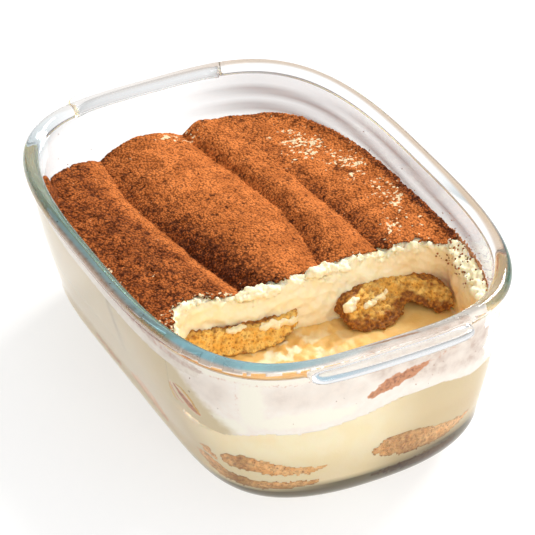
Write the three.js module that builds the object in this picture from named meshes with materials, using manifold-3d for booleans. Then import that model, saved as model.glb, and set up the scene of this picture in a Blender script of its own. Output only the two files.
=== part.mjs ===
// A tiramisu in its oblong glass dish, with one spoonful after another already taken from the front end.
// Millimetres, +Z up. The long axis of the dish runs along Y, its foot stands on z = 0, and the scooped end is at -Y.
// The dish is one glass body: flared walls, a round bead at the rim and a lug on each short end.
// In it lie two layers of sponge fingers, each with its layer of cream.
import * as THREE from "three";
import { mergeVertices } from "three/addons/utils/BufferGeometryUtils.js";
import Module from "manifold-3d";

const wasm = await Module();
wasm.setup();

// ---- driving dimensions: the dish
const RIM_HALF_LENGTH = 100;
const RIM_HALF_WIDTH = 72.5;
const DISH_HEIGHT = 71;
const BEAD_RADIUS = 2.9;
const WALL = 4;
const BASE = 5;
const NECK = 2.3; // how far the wall steps in under the bead
const FOOT_ROUND = 14; // radius of the outer curve between wall and foot
const FOOT_ROUND_INSIDE = 11;
const FLARE_LENGTH = 3.8; // how far the wall leans out at each short end
const FLARE_WIDTH = 13.8; // and along each long side
const FLARE_BEND = 1.2; // 1 would be a straight wall
const RIM_SQUARENESS = { across: 3.6, along: 3.1 };
const FOOT_SQUARENESS = { across: 2.35, along: 6.2 };
const LUG = { halfWidth: 31, reach: 6, thickness: 3.5, drop: 2.1, cornerRadius: 6 };

// ---- driving dimensions: the food
const GAP = 0.3; // clearance between touching pieces
const FLOOR_HEIGHT = 32; // top of the lower cream layer
const FRONT_BANK_RISE = 8; // the lower cream is left higher against the front wall
const CREST_HEIGHT = 53.5;
const BACK_DROP = 4.5; // the surface is lower at the far end
const RIGHT_RISE = 1.5;
const LIP_HEIGHT = 62; // cream smeared up the left wall
const LIP_THICKNESS = 3;
const FURROWS = [
  { x: -72, depth: 1 },
  { x: -25, depth: 5 },
  { x: 16, depth: 4.5 },
  { x: 34, depth: 3.5 },
  { x: 72, depth: 2 },
];
const CUT_SLOPE = 6; // how far the foot of the cut face stands in front of its top edge

const AROUND = 56; // points round an outline of the dish
const BEAD_STEPS = 4; // on each side of the bead's top
const ROUND_STEPS = 4;

const mix = (a, b, t) => a + (b - a) * t;
const clamp01 = (t) => Math.min(1, Math.max(0, t));
const smooth = (t) => clamp01(t) ** 2 * (3 - 2 * clamp01(t));

// Evenly spaced values from one end to the other, both ends included.
const steps = (from, to, count) => Array.from({ length: count + 1 }, (unused, i) => mix(from, to, i / count));

// ---- closed bodies from rings, grids and outlines

function bodyOf(positions, triangles) {
  const geometry = new THREE.BufferGeometry();
  geometry.setAttribute("position", new THREE.Float32BufferAttribute(positions, 3));
  geometry.setIndex(triangles);
  return geometry;
}

// Joins rings of equal count, in order, and closes each end with a fan. Seen from the end of the row of rings,
// the points run anticlockwise.
function loft(rings) {
  const count = rings[0].length;
  const positions = rings.flat(2);
  const triangles = [];
  for (let r = 0; r + 1 < rings.length; r++) {
    for (let i = 0; i < count; i++) {
      const here = r * count + i;
      const next = r * count + ((i + 1) % count);
      triangles.push(here, next, next + count, here, next + count, here + count);
    }
  }
  const closeWith = (r, flip) => {
    const centre = positions.length / 3;
    const mean = [0, 1, 2].map((k) => rings[r].reduce((sum, p) => sum + p[k], 0) / count);
    positions.push(...mean);
    for (let i = 0; i < count; i++) {
      const here = r * count + i;
      const next = r * count + ((i + 1) % count);
      triangles.push(...(flip ? [centre, next, here] : [centre, here, next]));
    }
  };
  closeWith(0, true);
  closeWith(rings.length - 1, false);
  return bodyOf(positions, triangles);
}

// A block with a flat underside at lowZ and the height heightAt(x, y) on top.
function terrain(xs, ys, heightAt, lowZ) {
  const positions = [];
  const triangles = [];
  for (const level of [() => lowZ, heightAt]) {
    for (const y of ys) {
      for (const x of xs) {
        positions.push(x, y, level(x, y));
      }
    }
  }
  const nx = xs.length;
  const ny = ys.length;
  const low = (i, j) => j * nx + i;
  const high = (i, j) => nx * ny + low(i, j);
  const quad = (a, b, c, d) => triangles.push(a, b, c, a, c, d);
  for (let j = 0; j + 1 < ny; j++) {
    for (let i = 0; i + 1 < nx; i++) {
      quad(high(i, j), high(i + 1, j), high(i + 1, j + 1), high(i, j + 1));
      quad(low(i, j), low(i, j + 1), low(i + 1, j + 1), low(i + 1, j));
    }
  }
  for (let i = 0; i + 1 < nx; i++) {
    quad(low(i, 0), low(i + 1, 0), high(i + 1, 0), high(i, 0));
    quad(low(i + 1, ny - 1), low(i, ny - 1), high(i, ny - 1), high(i + 1, ny - 1));
  }
  for (let j = 0; j + 1 < ny; j++) {
    quad(low(0, j + 1), low(0, j), high(0, j), high(0, j + 1));
    quad(low(nx - 1, j), low(nx - 1, j + 1), high(nx - 1, j + 1), high(nx - 1, j));
  }
  return bodyOf(positions, triangles);
}

function solidOf(geometry) {
  const bare = geometry.clone();
  bare.deleteAttribute("normal");
  bare.deleteAttribute("uv");
  const merged = mergeVertices(bare, 1e-4);
  return new wasm.Manifold(
    new wasm.Mesh({
      numProp: 3,
      vertProperties: merged.attributes.position.array,
      triVerts: new Uint32Array(merged.index.array),
    }),
  );
}

function meshOf(name, solid, material) {
  const data = solid.getMesh();
  const geometry = new THREE.BufferGeometry();
  geometry.setAttribute("position", new THREE.BufferAttribute(new Float32Array(data.vertProperties), 3));
  geometry.setIndex(new THREE.BufferAttribute(new Uint32Array(data.triVerts), 1));
  geometry.computeVertexNormals();
  const mesh = new THREE.Mesh(geometry, material);
  mesh.name = name;
  return mesh;
}

// The largest piece of a solid: a cut can leave slivers beside it.
function mainPiece(solid) {
  return solid.decompose().reduce((best, piece) => (piece.volume() > best.volume() ? piece : best));
}

// ---- outlines of the dish

// How far a superellipse reaches past the plain ellipse of the same half sizes, in the direction t.
function reachPast(t, squareness) {
  const c = Math.abs(Math.cos(t));
  const s = Math.abs(Math.sin(t));
  let k = 1;
  for (let step = 0; step < 12; step++) {
    const across = (k * c) ** squareness.across;
    const along = (k * s) ** squareness.along;
    k -= (k * (across + along - 1)) / (squareness.across * across + squareness.along * along);
  }
  return k;
}

const neckHeight = DISH_HEIGHT - 2 * BEAD_RADIUS;

// How far down the flare a height lies: 0 under the bead, 1 where the foot's curve begins.
function flareAt(z) {
  return clamp01((neckHeight - z) / (neckHeight - FOOT_ROUND)) ** FLARE_BEND;
}

// The dish's outline at height z, moved in by inset from the bead's outer edge.
function outline(z, inset) {
  const flare = flareAt(z);
  const squareness = {
    across: mix(RIM_SQUARENESS.across, FOOT_SQUARENESS.across, flare),
    along: mix(RIM_SQUARENESS.along, FOOT_SQUARENESS.along, flare),
  };
  const halfWidth = RIM_HALF_WIDTH - inset - FLARE_WIDTH * flare;
  const halfLength = RIM_HALF_LENGTH - inset - FLARE_LENGTH * flare;
  const ring = [];
  for (let i = 0; i < AROUND; i++) {
    const t = (2 * Math.PI * i) / AROUND;
    const k = reachPast(t, squareness);
    ring.push([k * halfWidth * Math.cos(t), k * halfLength * Math.sin(t), z]);
  }
  return ring;
}

// Rings of a quarter round between a flat bottom at lowZ and a wall: from the bottom up.
function footRings(lowZ, radius, inset) {
  const rings = [];
  for (let i = 0; i <= ROUND_STEPS; i++) {
    const angle = (i / ROUND_STEPS) * (Math.PI / 2);
    rings.push(outline(lowZ + radius * (1 - Math.cos(angle)), inset + radius * (1 - Math.sin(angle))));
  }
  return rings;
}

function wallRings(fromZ, toZ, inset, steps) {
  const rings = [];
  for (let i = 1; i <= steps; i++) {
    rings.push(outline(mix(fromZ, toZ, i / steps), inset));
  }
  return rings;
}

const insideInset = NECK + WALL;

// The round bead: from under its outer side, over the top, to its inner side.
function beadRings() {
  const start = -Math.acos((BEAD_RADIUS - NECK) / BEAD_RADIUS);
  const outerSide = steps(start, Math.PI / 2, BEAD_STEPS);
  const innerSide = steps(Math.PI / 2, Math.PI * 1.06, BEAD_STEPS - 1).slice(1);
  return [...outerSide, ...innerSide].map((angle) => {
    const height = DISH_HEIGHT - BEAD_RADIUS + BEAD_RADIUS * Math.sin(angle);
    return outline(height, BEAD_RADIUS - BEAD_RADIUS * Math.cos(angle));
  });
}

// A flat lug under the bead at one short end; side is -1 for the front and 1 for the back.
function lug(side) {
  const inner = RIM_HALF_LENGTH - insideInset + 1.5;
  const outer = RIM_HALF_LENGTH + LUG.reach;
  const r = LUG.cornerRadius;
  const shape = new THREE.Shape();
  shape.moveTo(-LUG.halfWidth, inner);
  shape.lineTo(LUG.halfWidth, inner);
  shape.lineTo(LUG.halfWidth, outer - r - 1.5);
  shape.quadraticCurveTo(LUG.halfWidth, outer - 1.5, LUG.halfWidth - r, outer - 1);
  shape.quadraticCurveTo(0, outer + 1, -LUG.halfWidth + r, outer - 1);
  shape.quadraticCurveTo(-LUG.halfWidth, outer - 1.5, -LUG.halfWidth, outer - r - 1.5);
  const bevel = LUG.thickness * 0.3;
  const geometry = new THREE.ExtrudeGeometry(shape, {
    depth: LUG.thickness - 2 * bevel,
    bevelEnabled: true,
    bevelThickness: bevel,
    bevelSize: bevel,
    bevelOffset: -bevel,
    bevelSegments: 2,
    curveSegments: 6,
  });
  geometry.translate(0, 0, DISH_HEIGHT - LUG.drop - LUG.thickness + bevel);
  if (side < 0) {
    geometry.rotateZ(Math.PI);
  }
  return solidOf(geometry);
}

function dishSolid() {
  const outside = [...footRings(0, FOOT_ROUND, NECK), ...wallRings(FOOT_ROUND, neckHeight - 2, NECK, 4)];
  const wallTop = neckHeight - 2;
  const footTop = BASE + FOOT_ROUND_INSIDE;
  const inside = [
    outline(wallTop, insideInset),
    ...wallRings(wallTop, footTop, insideInset, 4),
    ...footRings(BASE, FOOT_ROUND_INSIDE, insideInset).reverse().slice(1),
  ];
  const glass = solidOf(loft([...outside, ...beadRings(), ...inside]));
  return glass.add(lug(1)).add(lug(-1));
}

// The space that the food can fill: the inside of the dish, less the clearance.
function fillingSolid() {
  const inset = insideInset + GAP;
  const footTop = BASE + FOOT_ROUND_INSIDE;
  return solidOf(
    loft([...footRings(BASE + GAP, FOOT_ROUND_INSIDE, inset), ...wallRings(footTop + GAP, LIP_HEIGHT, inset, 4)]),
  );
}

// ---- surfaces of the food

// The ridges of the top run along the dish: round crests between sharp furrows.
function furrowAt(x) {
  let i = 0;
  while (i + 2 < FURROWS.length && x > FURROWS[i + 1].x) {
    i += 1;
  }
  const left = FURROWS[i];
  const right = FURROWS[i + 1];
  const t = clamp01((x - left.x) / (right.x - left.x));
  return mix(left.depth, right.depth, t) * (1 - Math.sin(Math.PI * t) ** 0.8);
}

function topAt(x, y) {
  const toBack = smooth((y + 20) / 115);
  return CREST_HEIGHT - furrowAt(x) - BACK_DROP * toBack + RIGHT_RISE * smooth(x / 60) * (1 - 0.6 * toBack);
}

// The floor of the scooped hollow, which is also the top of the lower cream.
function floorAt(x, y) {
  const bank = smooth((-52 - y) / 34);
  return FLOOR_HEIGHT + FRONT_BANK_RISE * bank;
}

const acrossFine = FURROWS.slice(0, -1).flatMap((furrow, i) => {
  const cells = Math.round((FURROWS[i + 1].x - furrow.x) / 5.5);
  return steps(furrow.x, FURROWS[i + 1].x, cells).slice(i ? 1 : 0);
});
const alongCoarse = steps(-104, 104, 12);
const acrossCoarse = steps(-76, 76, 6);

const belowTop = () => solidOf(terrain(acrossFine, alongCoarse, topAt, -5));
const belowFloor = (rise) => solidOf(terrain(acrossCoarse, steps(-104, 104, 24), (x, y) => floorAt(x, y) + rise, -5));

// The hollow that the spoon has left: its back face leans, and thin banks of cream stay on both side walls.
function hollowSolid() {
  const back = [
    [-60, -72],
    [-57, -58],
    [-54, -42],
    [-49, -30],
    [-42, -23],
    [-28, -21],
    [-8, -22],
    [14, -21],
    [32, -22],
    [46, -25],
    [53, -32],
    [56, -44],
    [55, -58],
    [52, -72],
    [46, -84],
  ];
  const levelAt = (z, lean) => [
    ...back.map(([x, y]) => [x, y - (Math.abs(x) < 52 ? lean : 0), z]),
    [46, -125, z],
    [-60, -125, z],
  ];
  const rings = [levelAt(FLOOR_HEIGHT - 12, CUT_SLOPE), levelAt(FLOOR_HEIGHT, CUT_SLOPE), levelAt(CREST_HEIGHT, 0)];
  rings.push(levelAt(DISH_HEIGHT + 5, 0));
  return solidOf(loft(rings.map((ring) => ring.reverse())));
}

// ---- the sponge fingers: bars of rounded section along the dish

const SPONGE_SECTION = 14; // points round a section
const BLUNTNESS = 8; // how square the ends of a finger are, seen from above
const TORN_SHARE = 0.5; // share of a torn finger's length over which its leaning end straightens out

function spongeSolid(finger, grow) {
  const { left, right, low, high, front, back, arch = 0, tear = 0 } = finger;
  const halfWidth = (right - left) / 2 + grow;
  const halfHeight = (high - low) / 2 + grow;
  const rings = [];
  for (const t of [0, 0.03, 0.1, 0.5, 0.9, 0.97, 1]) {
    const size = mix(0.78, 1, (1 - Math.abs(2 * t - 1) ** BLUNTNESS) ** 0.5);
    const ring = [];
    for (let i = 0; i < SPONGE_SECTION; i++) {
      const angle = (2 * Math.PI * (i + 0.5)) / SPONGE_SECTION;
      const c = Math.cos(angle);
      const s = Math.sin(angle);
      const x = halfWidth * size * Math.sign(c) * Math.abs(c) ** 0.75;
      const z = halfHeight * Math.sign(s) * Math.abs(s) ** 0.6 * size;
      const lift = arch * Math.cos((Math.PI / 2) * Math.min(1, Math.abs(x / halfWidth))) ** 2;
      const raised = s < 0 ? lift : lift * 0.35;
      const tornBack = tear * clamp01((z / halfHeight + 1) / 2) * (1 - smooth(t / TORN_SHARE));
      const y = mix(front - grow, back + grow, t) + tornBack;
      ring.push([(left + right) / 2 + x, y, (low + high) / 2 + z + raised]);
    }
    rings.push(ring.reverse());
  }
  return solidOf(loft(rings));
}

const SPONGE_LOW = BASE + 2 * GAP;
const LOWER_FINGERS = {
  sponge_lower_front_left: { left: -56, right: -22, low: SPONGE_LOW, high: 24, front: -99, back: -4 },
  sponge_lower_front_right: { left: -6, right: 40, low: SPONGE_LOW, high: 23.5, front: -99, back: -3 },
  sponge_lower_back_left: { left: -55, right: -19, low: SPONGE_LOW, high: 23.5, front: 2, back: 99 },
  sponge_lower_back_right: { left: -4, right: 42, low: SPONGE_LOW, high: 24, front: 3, back: 99 },
};
const UPPER_LOW = FLOOR_HEIGHT + 2 * GAP;
const UPPER_FINGERS = {
  sponge_upper_left: { left: -43, right: 3, low: UPPER_LOW, high: 43.5, front: -34, back: 80, arch: 0.5, tear: 7 },
  sponge_upper_right: { left: 16, right: 55, low: UPPER_LOW, high: 43, front: -42.5, back: 60, arch: 3.5, tear: 11 },
};

// ---- materials

const glass = new THREE.MeshStandardMaterial({
  color: "#dfe9e6",
  roughness: 0.05,
  metalness: 0,
  transparent: true,
  opacity: 0.3,
});
const creamTop = new THREE.MeshStandardMaterial({ color: "#f4e3b4", roughness: 0.7, metalness: 0 });
const creamFloor = new THREE.MeshStandardMaterial({ color: "#efd596", roughness: 0.5, metalness: 0 });
const sponge = new THREE.MeshStandardMaterial({ color: "#b98142", roughness: 0.9, metalness: 0 });

// ---- assembly

const filling = fillingSolid();
const hollow = hollowSolid();

function creamUpperSolid() {
  const lipRoom = solidOf(terrain(steps(-80, -30, 1), steps(-72, 70, 10), () => LIP_HEIGHT - 1, 40));
  const inset = insideInset + LIP_THICKNESS;
  const core = solidOf(loft([outline(20, inset), outline(35, inset), outline(50, inset), outline(75, inset)]));
  const lip = filling.intersect(lipRoom).subtract(core);
  let cream = filling.intersect(belowTop()).add(lip).subtract(belowFloor(GAP)).subtract(hollow);
  for (const finger of Object.values(UPPER_FINGERS)) {
    cream = cream.subtract(spongeSolid(finger, GAP));
  }
  return mainPiece(cream);
}

function creamLowerSolid() {
  let cream = filling.intersect(belowFloor(0));
  for (const finger of Object.values(LOWER_FINGERS)) {
    cream = cream.subtract(spongeSolid(finger, GAP));
  }
  return mainPiece(cream);
}

const tiramisu = new THREE.Group();
tiramisu.add(meshOf("dish", dishSolid(), glass));
tiramisu.add(meshOf("cream_lower", creamLowerSolid(), creamFloor));
tiramisu.add(meshOf("cream_upper", creamUpperSolid(), creamTop));
for (const [name, finger] of Object.entries(LOWER_FINGERS)) {
  tiramisu.add(meshOf(name, mainPiece(spongeSolid(finger, 0).intersect(filling)), sponge));
}
for (const [name, finger] of Object.entries(UPPER_FINGERS)) {
  tiramisu.add(meshOf(name, spongeSolid(finger, 0), sponge));
}

export default tiramisu;
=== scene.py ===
# %% [markdown]
# # A tiramisu in its glass dish
# The real dessert is built in layers: sponge fingers soaked in coffee, cream, fingers and cream again, and
# cocoa sieved over the ridges that a palette knife left. Some helpings are gone from the front end, so the
# layers show there. We load the measured frame first, because every piece below stands for one of its nodes.

import bmesh
import bpy
import math
import numpy as np
from mathutils import Matrix, Vector, noise


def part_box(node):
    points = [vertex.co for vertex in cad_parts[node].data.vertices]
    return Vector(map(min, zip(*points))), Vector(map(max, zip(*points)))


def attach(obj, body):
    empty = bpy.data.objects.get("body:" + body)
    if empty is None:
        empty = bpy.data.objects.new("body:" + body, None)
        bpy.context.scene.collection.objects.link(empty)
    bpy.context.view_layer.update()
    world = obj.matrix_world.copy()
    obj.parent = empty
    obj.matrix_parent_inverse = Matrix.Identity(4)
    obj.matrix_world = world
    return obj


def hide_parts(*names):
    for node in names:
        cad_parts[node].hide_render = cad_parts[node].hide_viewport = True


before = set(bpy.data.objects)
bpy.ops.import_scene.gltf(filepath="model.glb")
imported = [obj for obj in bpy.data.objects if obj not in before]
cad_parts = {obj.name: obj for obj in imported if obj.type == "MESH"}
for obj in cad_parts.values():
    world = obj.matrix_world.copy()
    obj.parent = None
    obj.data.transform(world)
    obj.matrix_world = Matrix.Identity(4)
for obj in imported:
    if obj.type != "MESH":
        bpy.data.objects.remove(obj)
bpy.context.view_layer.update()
MM = 0.001
print("nodes:", sorted(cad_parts))

# %% [markdown]
# ## The camera
# A long lens from well above the front left corner keeps the long walls nearly parallel. We put the camera on
# a sphere round the middle of the dish, turn it to look back, and then slide it a few millimetres sideways
# and up, so that the dish sits a little low in the picture.

# %% Camera
AZIMUTH, ELEVATION, ROLL = (math.radians(angle) for angle in (-26.83, 34.76, -0.70))
DISTANCE, LENS, SENSOR = 1.2941, 233.2, 36
SLIDE_RIGHT, SLIDE_UP = 0.00195, 0.00538
middle = Vector((0, 0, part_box("dish")[1].z / 2))
back = Vector((
    math.sin(AZIMUTH) * math.cos(ELEVATION),
    -math.cos(AZIMUTH) * math.cos(ELEVATION),
    math.sin(ELEVATION),
))
level_right = (-back).cross(Vector((0, 0, 1))).normalized()
level_up = level_right.cross(-back)
right = level_right * math.cos(ROLL) + level_up * math.sin(ROLL)
up = level_up * math.cos(ROLL) - level_right * math.sin(ROLL)
camera = bpy.data.objects.new("camera", bpy.data.cameras.new("camera"))
camera.data.lens = LENS
camera.data.sensor_width = SENSOR
camera.data.clip_start = 0.05
place = middle + back * DISTANCE + right * SLIDE_RIGHT + up * SLIDE_UP
turn = Matrix((right, up, back)).transposed().to_4x4()
camera.matrix_world = Matrix.Translation(place) @ turn
bpy.context.scene.collection.objects.link(camera)
bpy.context.scene.camera = camera
print("camera at", [round(c, 3) for c in place])

# %% [markdown]
# ## The shape of the dish
# An oblong dish like this is a superellipse: an ellipse whose corners are pushed out. Its walls lean outwards
# to the rim, more along the sides than at the ends, and the corners change their squareness on the way up.
# All lengths are in millimetres until a piece is finished.

# %% Outlines of the dish
HALF_WIDTH, HALF_LENGTH, HEIGHT = 72.5, 100.0, 71.0
BEAD, WALL, BASE, NECK = 2.9, 4.0, 5.0, 2.3
FOOT_ROUND, INNER_ROUND = 14.0, 11.0
FLARE_WIDTH, FLARE_LENGTH, FLARE_BEND = 13.8, 3.8, 1.2
RIM_SQUARE = (3.6, 3.1)
FOOT_SQUARE = (2.35, 6.2)
INNER = NECK + WALL
NECK_Z = HEIGHT - 2 * BEAD


def smooth(t):
    t = np.clip(t, 0, 1)
    return t * t * (3 - 2 * t)


def bell(value, middle, width):
    """1 at the middle, falling off to both sides."""
    return np.exp(-(((value - middle) / width) ** 2))


def compass(x, y):
    """Degrees round the dish: 0 is the right side, 90 the back, 180 the left and 270 the front."""
    return np.degrees(np.arctan2(y, x)) % 360


def flare_at(z):
    return np.clip((NECK_Z - z) / (NECK_Z - FOOT_ROUND), 0, 1) ** FLARE_BEND


def halves(z, inset):
    """Half width, half length and the two squarenesses of the outline at a height."""
    flare = flare_at(z)
    across = RIM_SQUARE[0] + (FOOT_SQUARE[0] - RIM_SQUARE[0]) * flare
    along = RIM_SQUARE[1] + (FOOT_SQUARE[1] - RIM_SQUARE[1]) * flare
    wide = HALF_WIDTH - inset - FLARE_WIDTH * flare
    long = HALF_LENGTH - inset - FLARE_LENGTH * flare
    return wide, long, across, along


def stretch_to_outline(x, y, z, inset):
    """How much longer (x, y) has to be to reach the outline at its height."""
    wide, long, across, along = halves(z, inset)
    a = np.abs(x / wide) + 1e-9
    b = np.abs(y / long) + 1e-9
    k = 1 / np.maximum(a, b)
    for _ in range(12):
        first, second = (k * a) ** across, (k * b) ** along
        k = k - k * (first + second - 1) / (across * first + along * second)
    return k


def outline(z, inset, count):
    """Points round the dish at height z, moved in by inset from the bead's outer edge.

    Both may be one number or a number for each point.
    """
    t = 2 * np.pi * np.arange(count) / count
    z = z + np.zeros(count)
    wide, long, _, _ = halves(z, inset)
    x, y = wide * np.cos(t), long * np.sin(t)
    k = stretch_to_outline(x, y, z, inset)
    return np.column_stack([k * x, k * y, z])


def inner_inset(z):
    """Where the inside of the dish stands at a height, its rounded foot included."""
    slope = np.clip((z - BASE) / INNER_ROUND, 0, 1)
    return INNER + INNER_ROUND * (1 - np.sqrt(np.clip(1 - (1 - slope) ** 2, 0, 1)))


print("inside at half height:", outline(35.0, INNER, 4).round(1).tolist())

# %% [markdown]
# ## Small helpers for making pieces
# A closed ring that is extruded again and again gives a lathe-like body with any outline, so one helper does
# the dish and the food in it. Each new ring keeps its points' numbers, which are stored on the vertices.
# Voxel remeshing then turns rough bodies into an even skin, on which vertices can be moved by noise.

# %% Helpers for meshes
def body_of(bm, name):
    mesh = bpy.data.meshes.new(name)
    bm.to_mesh(mesh)
    bm.free()
    body = bpy.data.objects.new(name, mesh)
    bpy.context.scene.collection.objects.link(body)
    return body


def grow(bm, edges, place):
    """Extrudes a ring of edges, puts each new vertex at place(vertex), and returns the new ring."""
    grown = bmesh.ops.extrude_edge_only(bm, edges=edges)["geom"]
    fresh = {g for g in grown if isinstance(g, bmesh.types.BMVert)}
    for vertex in fresh:
        vertex.co = place(vertex)
    return [g for g in grown if isinstance(g, bmesh.types.BMEdge) and set(g.verts) <= fresh]


def closed(bm, ring, name):
    """Closes the last ring and turns all faces outwards."""
    bmesh.ops.contextual_create(bm, geom=ring)
    bmesh.ops.recalc_face_normals(bm, faces=bm.faces[:])
    return body_of(bm, name)


def loft(rings):
    """A closed body through rings of equal count, from the first ring to the last."""
    bm = bmesh.new()
    number = bm.verts.layers.int.new("number")
    start = bmesh.ops.create_circle(bm, cap_ends=False, segments=len(rings[0]), radius=1)["verts"]
    for i, vertex in enumerate(start):
        vertex[number] = i
        vertex.co = rings[0][i]
    edges = bm.edges[:]
    bmesh.ops.contextual_create(bm, geom=edges)
    for points in rings[1:]:
        edges = grow(bm, edges, lambda vertex: points[vertex[number]])
    return closed(bm, edges, "loft")


def spots(body):
    """The places of the body's vertices, a row for each."""
    out = np.empty(len(body.data.vertices) * 3)
    body.data.vertices.foreach_get("co", out)
    return out.reshape(-1, 3)


def move_spots(body, points):
    body.data.vertices.foreach_set("co", np.ascontiguousarray(points, dtype=np.float32).ravel())
    body.data.update()


def normals(body):
    out = np.empty(len(body.data.vertices) * 3)
    body.data.vertex_normals.foreach_get("vector", out)
    return out.reshape(-1, 3)


def sheet(x_range, y_range, pitch, height_at):
    """An open grid whose heights come from height_at(x, y)."""
    nx = round((x_range[1] - x_range[0]) / pitch)
    ny = round((y_range[1] - y_range[0]) / pitch)
    bm = bmesh.new()
    bmesh.ops.create_grid(bm, x_segments=nx, y_segments=ny, size=0.5)
    body = body_of(bm, "sheet")
    p = spots(body)
    x = x_range[0] + (p[:, 0] + 0.5) * (x_range[1] - x_range[0])
    y = y_range[0] + (p[:, 1] + 0.5) * (y_range[1] - y_range[0])
    move_spots(body, np.column_stack([x, y, height_at(x, y)]))
    return body


def block_below(x_range, y_range, pitch, height_at, low):
    """A closed block from a flat underside at low up to height_at(x, y)."""
    top = sheet(x_range, y_range, pitch, height_at)
    bm = bmesh.new()
    bm.from_mesh(top.data)
    bpy.data.objects.remove(top)
    rim = [edge for edge in bm.edges if edge.is_boundary]
    return closed(bm, grow(bm, rim, lambda vertex: (vertex.co.x, vertex.co.y, low)), "block")


def without(body, mask):
    """The body without some of its vertices."""
    bm = bmesh.new()
    bm.from_mesh(body.data)
    bm.verts.ensure_lookup_table()
    bmesh.ops.delete(bm, geom=[bm.verts[i] for i in np.flatnonzero(mask)], context="VERTS")
    bpy.data.objects.remove(body)
    return body_of(bm, "trimmed")


def apply_modifiers(body):
    ready = body.evaluated_get(bpy.context.evaluated_depsgraph_get())
    mesh = bpy.data.meshes.new_from_object(ready)
    body.modifiers.clear()
    body.data = mesh


def combine(body, other, operation):
    """Joins, cuts or keeps the common part of two closed bodies, and uses the second one up."""
    cut = body.modifiers.new("cut", "BOOLEAN")
    cut.operation = operation
    cut.object = other
    cut.solver = "EXACT"
    apply_modifiers(body)
    bpy.data.objects.remove(other)
    return body


def thicken(body, thickness, offset):
    """Gives an open sheet a thickness; an offset of -1 grows it inwards, 1 outwards."""
    solid = body.modifiers.new("thickness", "SOLIDIFY")
    solid.thickness = thickness
    solid.offset = offset
    apply_modifiers(body)
    return body


def joined(*bodies):
    """One body from several closed shells, with the values that they keep."""
    bm = bmesh.new()
    for body in bodies:
        bm.from_mesh(body.data)
        bpy.data.objects.remove(body)
    return body_of(bm, "joined")


def reskin(body, voxel):
    """Gives the body an even skin of small quads."""
    remesh = body.modifiers.new("skin", "REMESH")
    remesh.mode = "VOXEL"
    remesh.voxel_size = voxel
    apply_modifiers(body)
    return body


def rough(points, size, octaves=2, seed=0.0):
    """Smooth noise about -1 to 1, with lumps of the given size."""
    shift = Vector((seed * 17.3, seed * 5.1, seed * 9.7))
    return np.array([noise.fractal(Vector(p) / size + shift, 0.8, 2.1, octaves) for p in points])


def pits(points, size, seed=0.0):
    """1 in the middle of round holes of about the given spacing, 0 between them."""
    shift = Vector((seed * 3.3, seed * 7.7, seed * 1.9))
    near = np.array([noise.voronoi(Vector(p) / size + shift)[0][0] for p in points])
    return 1 - smooth(near / 0.55)


def keep_value(body, name, values):
    """Stores one number for each vertex, for the materials to read."""
    layer = body.data.attributes.new(name, "FLOAT", "POINT")
    layer.data.foreach_set("value", np.ascontiguousarray(values, dtype=np.float32))


# %% [markdown]
# ## Finishing a piece
# A finished piece goes from millimetres to metres, gets smooth shading and its material, rides on the root of
# the frame, and hides the parts of the frame that it stands for.

# %% Finishing
def finish(body, name, material, slot, *nodes):
    body.name = name
    body.data.name = name
    body.data.transform(Matrix.Scale(MM, 4))
    body.data.materials.clear()
    body.data.materials.append(material)
    body.data.polygons.foreach_set("use_smooth", [True] * len(body.data.polygons))
    body.data.update()
    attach(body, "root")
    if nodes:
        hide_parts(*nodes)
    triangles = sum(len(face.vertices) - 2 for face in body.data.polygons)
    print(f"{name}: {triangles} triangles")
    return body


# %% [markdown]
# ## Writing materials as sums
# Node graphs are easier to read as sums. A Wire stands for one output socket, and adding or multiplying
# wires adds the Math nodes. Colours go through Mix nodes, because a Math node would turn them grey.

# %% Wires
class Wire:
    def __init__(self, paint, socket):
        self.paint = paint
        self.socket = socket

    def maths(self, operation, first, second):
        return self.paint.node("Math", {"operation": operation}, {0: first, 1: second})

    def __add__(self, other):
        return self.maths("ADD", self, other)

    __radd__ = __add__

    def __mul__(self, other):
        return self.maths("MULTIPLY", self, other)

    __rmul__ = __mul__

    def __sub__(self, other):
        return self.maths("SUBTRACT", self, other)

    def __rsub__(self, other):
        return self.maths("SUBTRACT", other, self)


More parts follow.
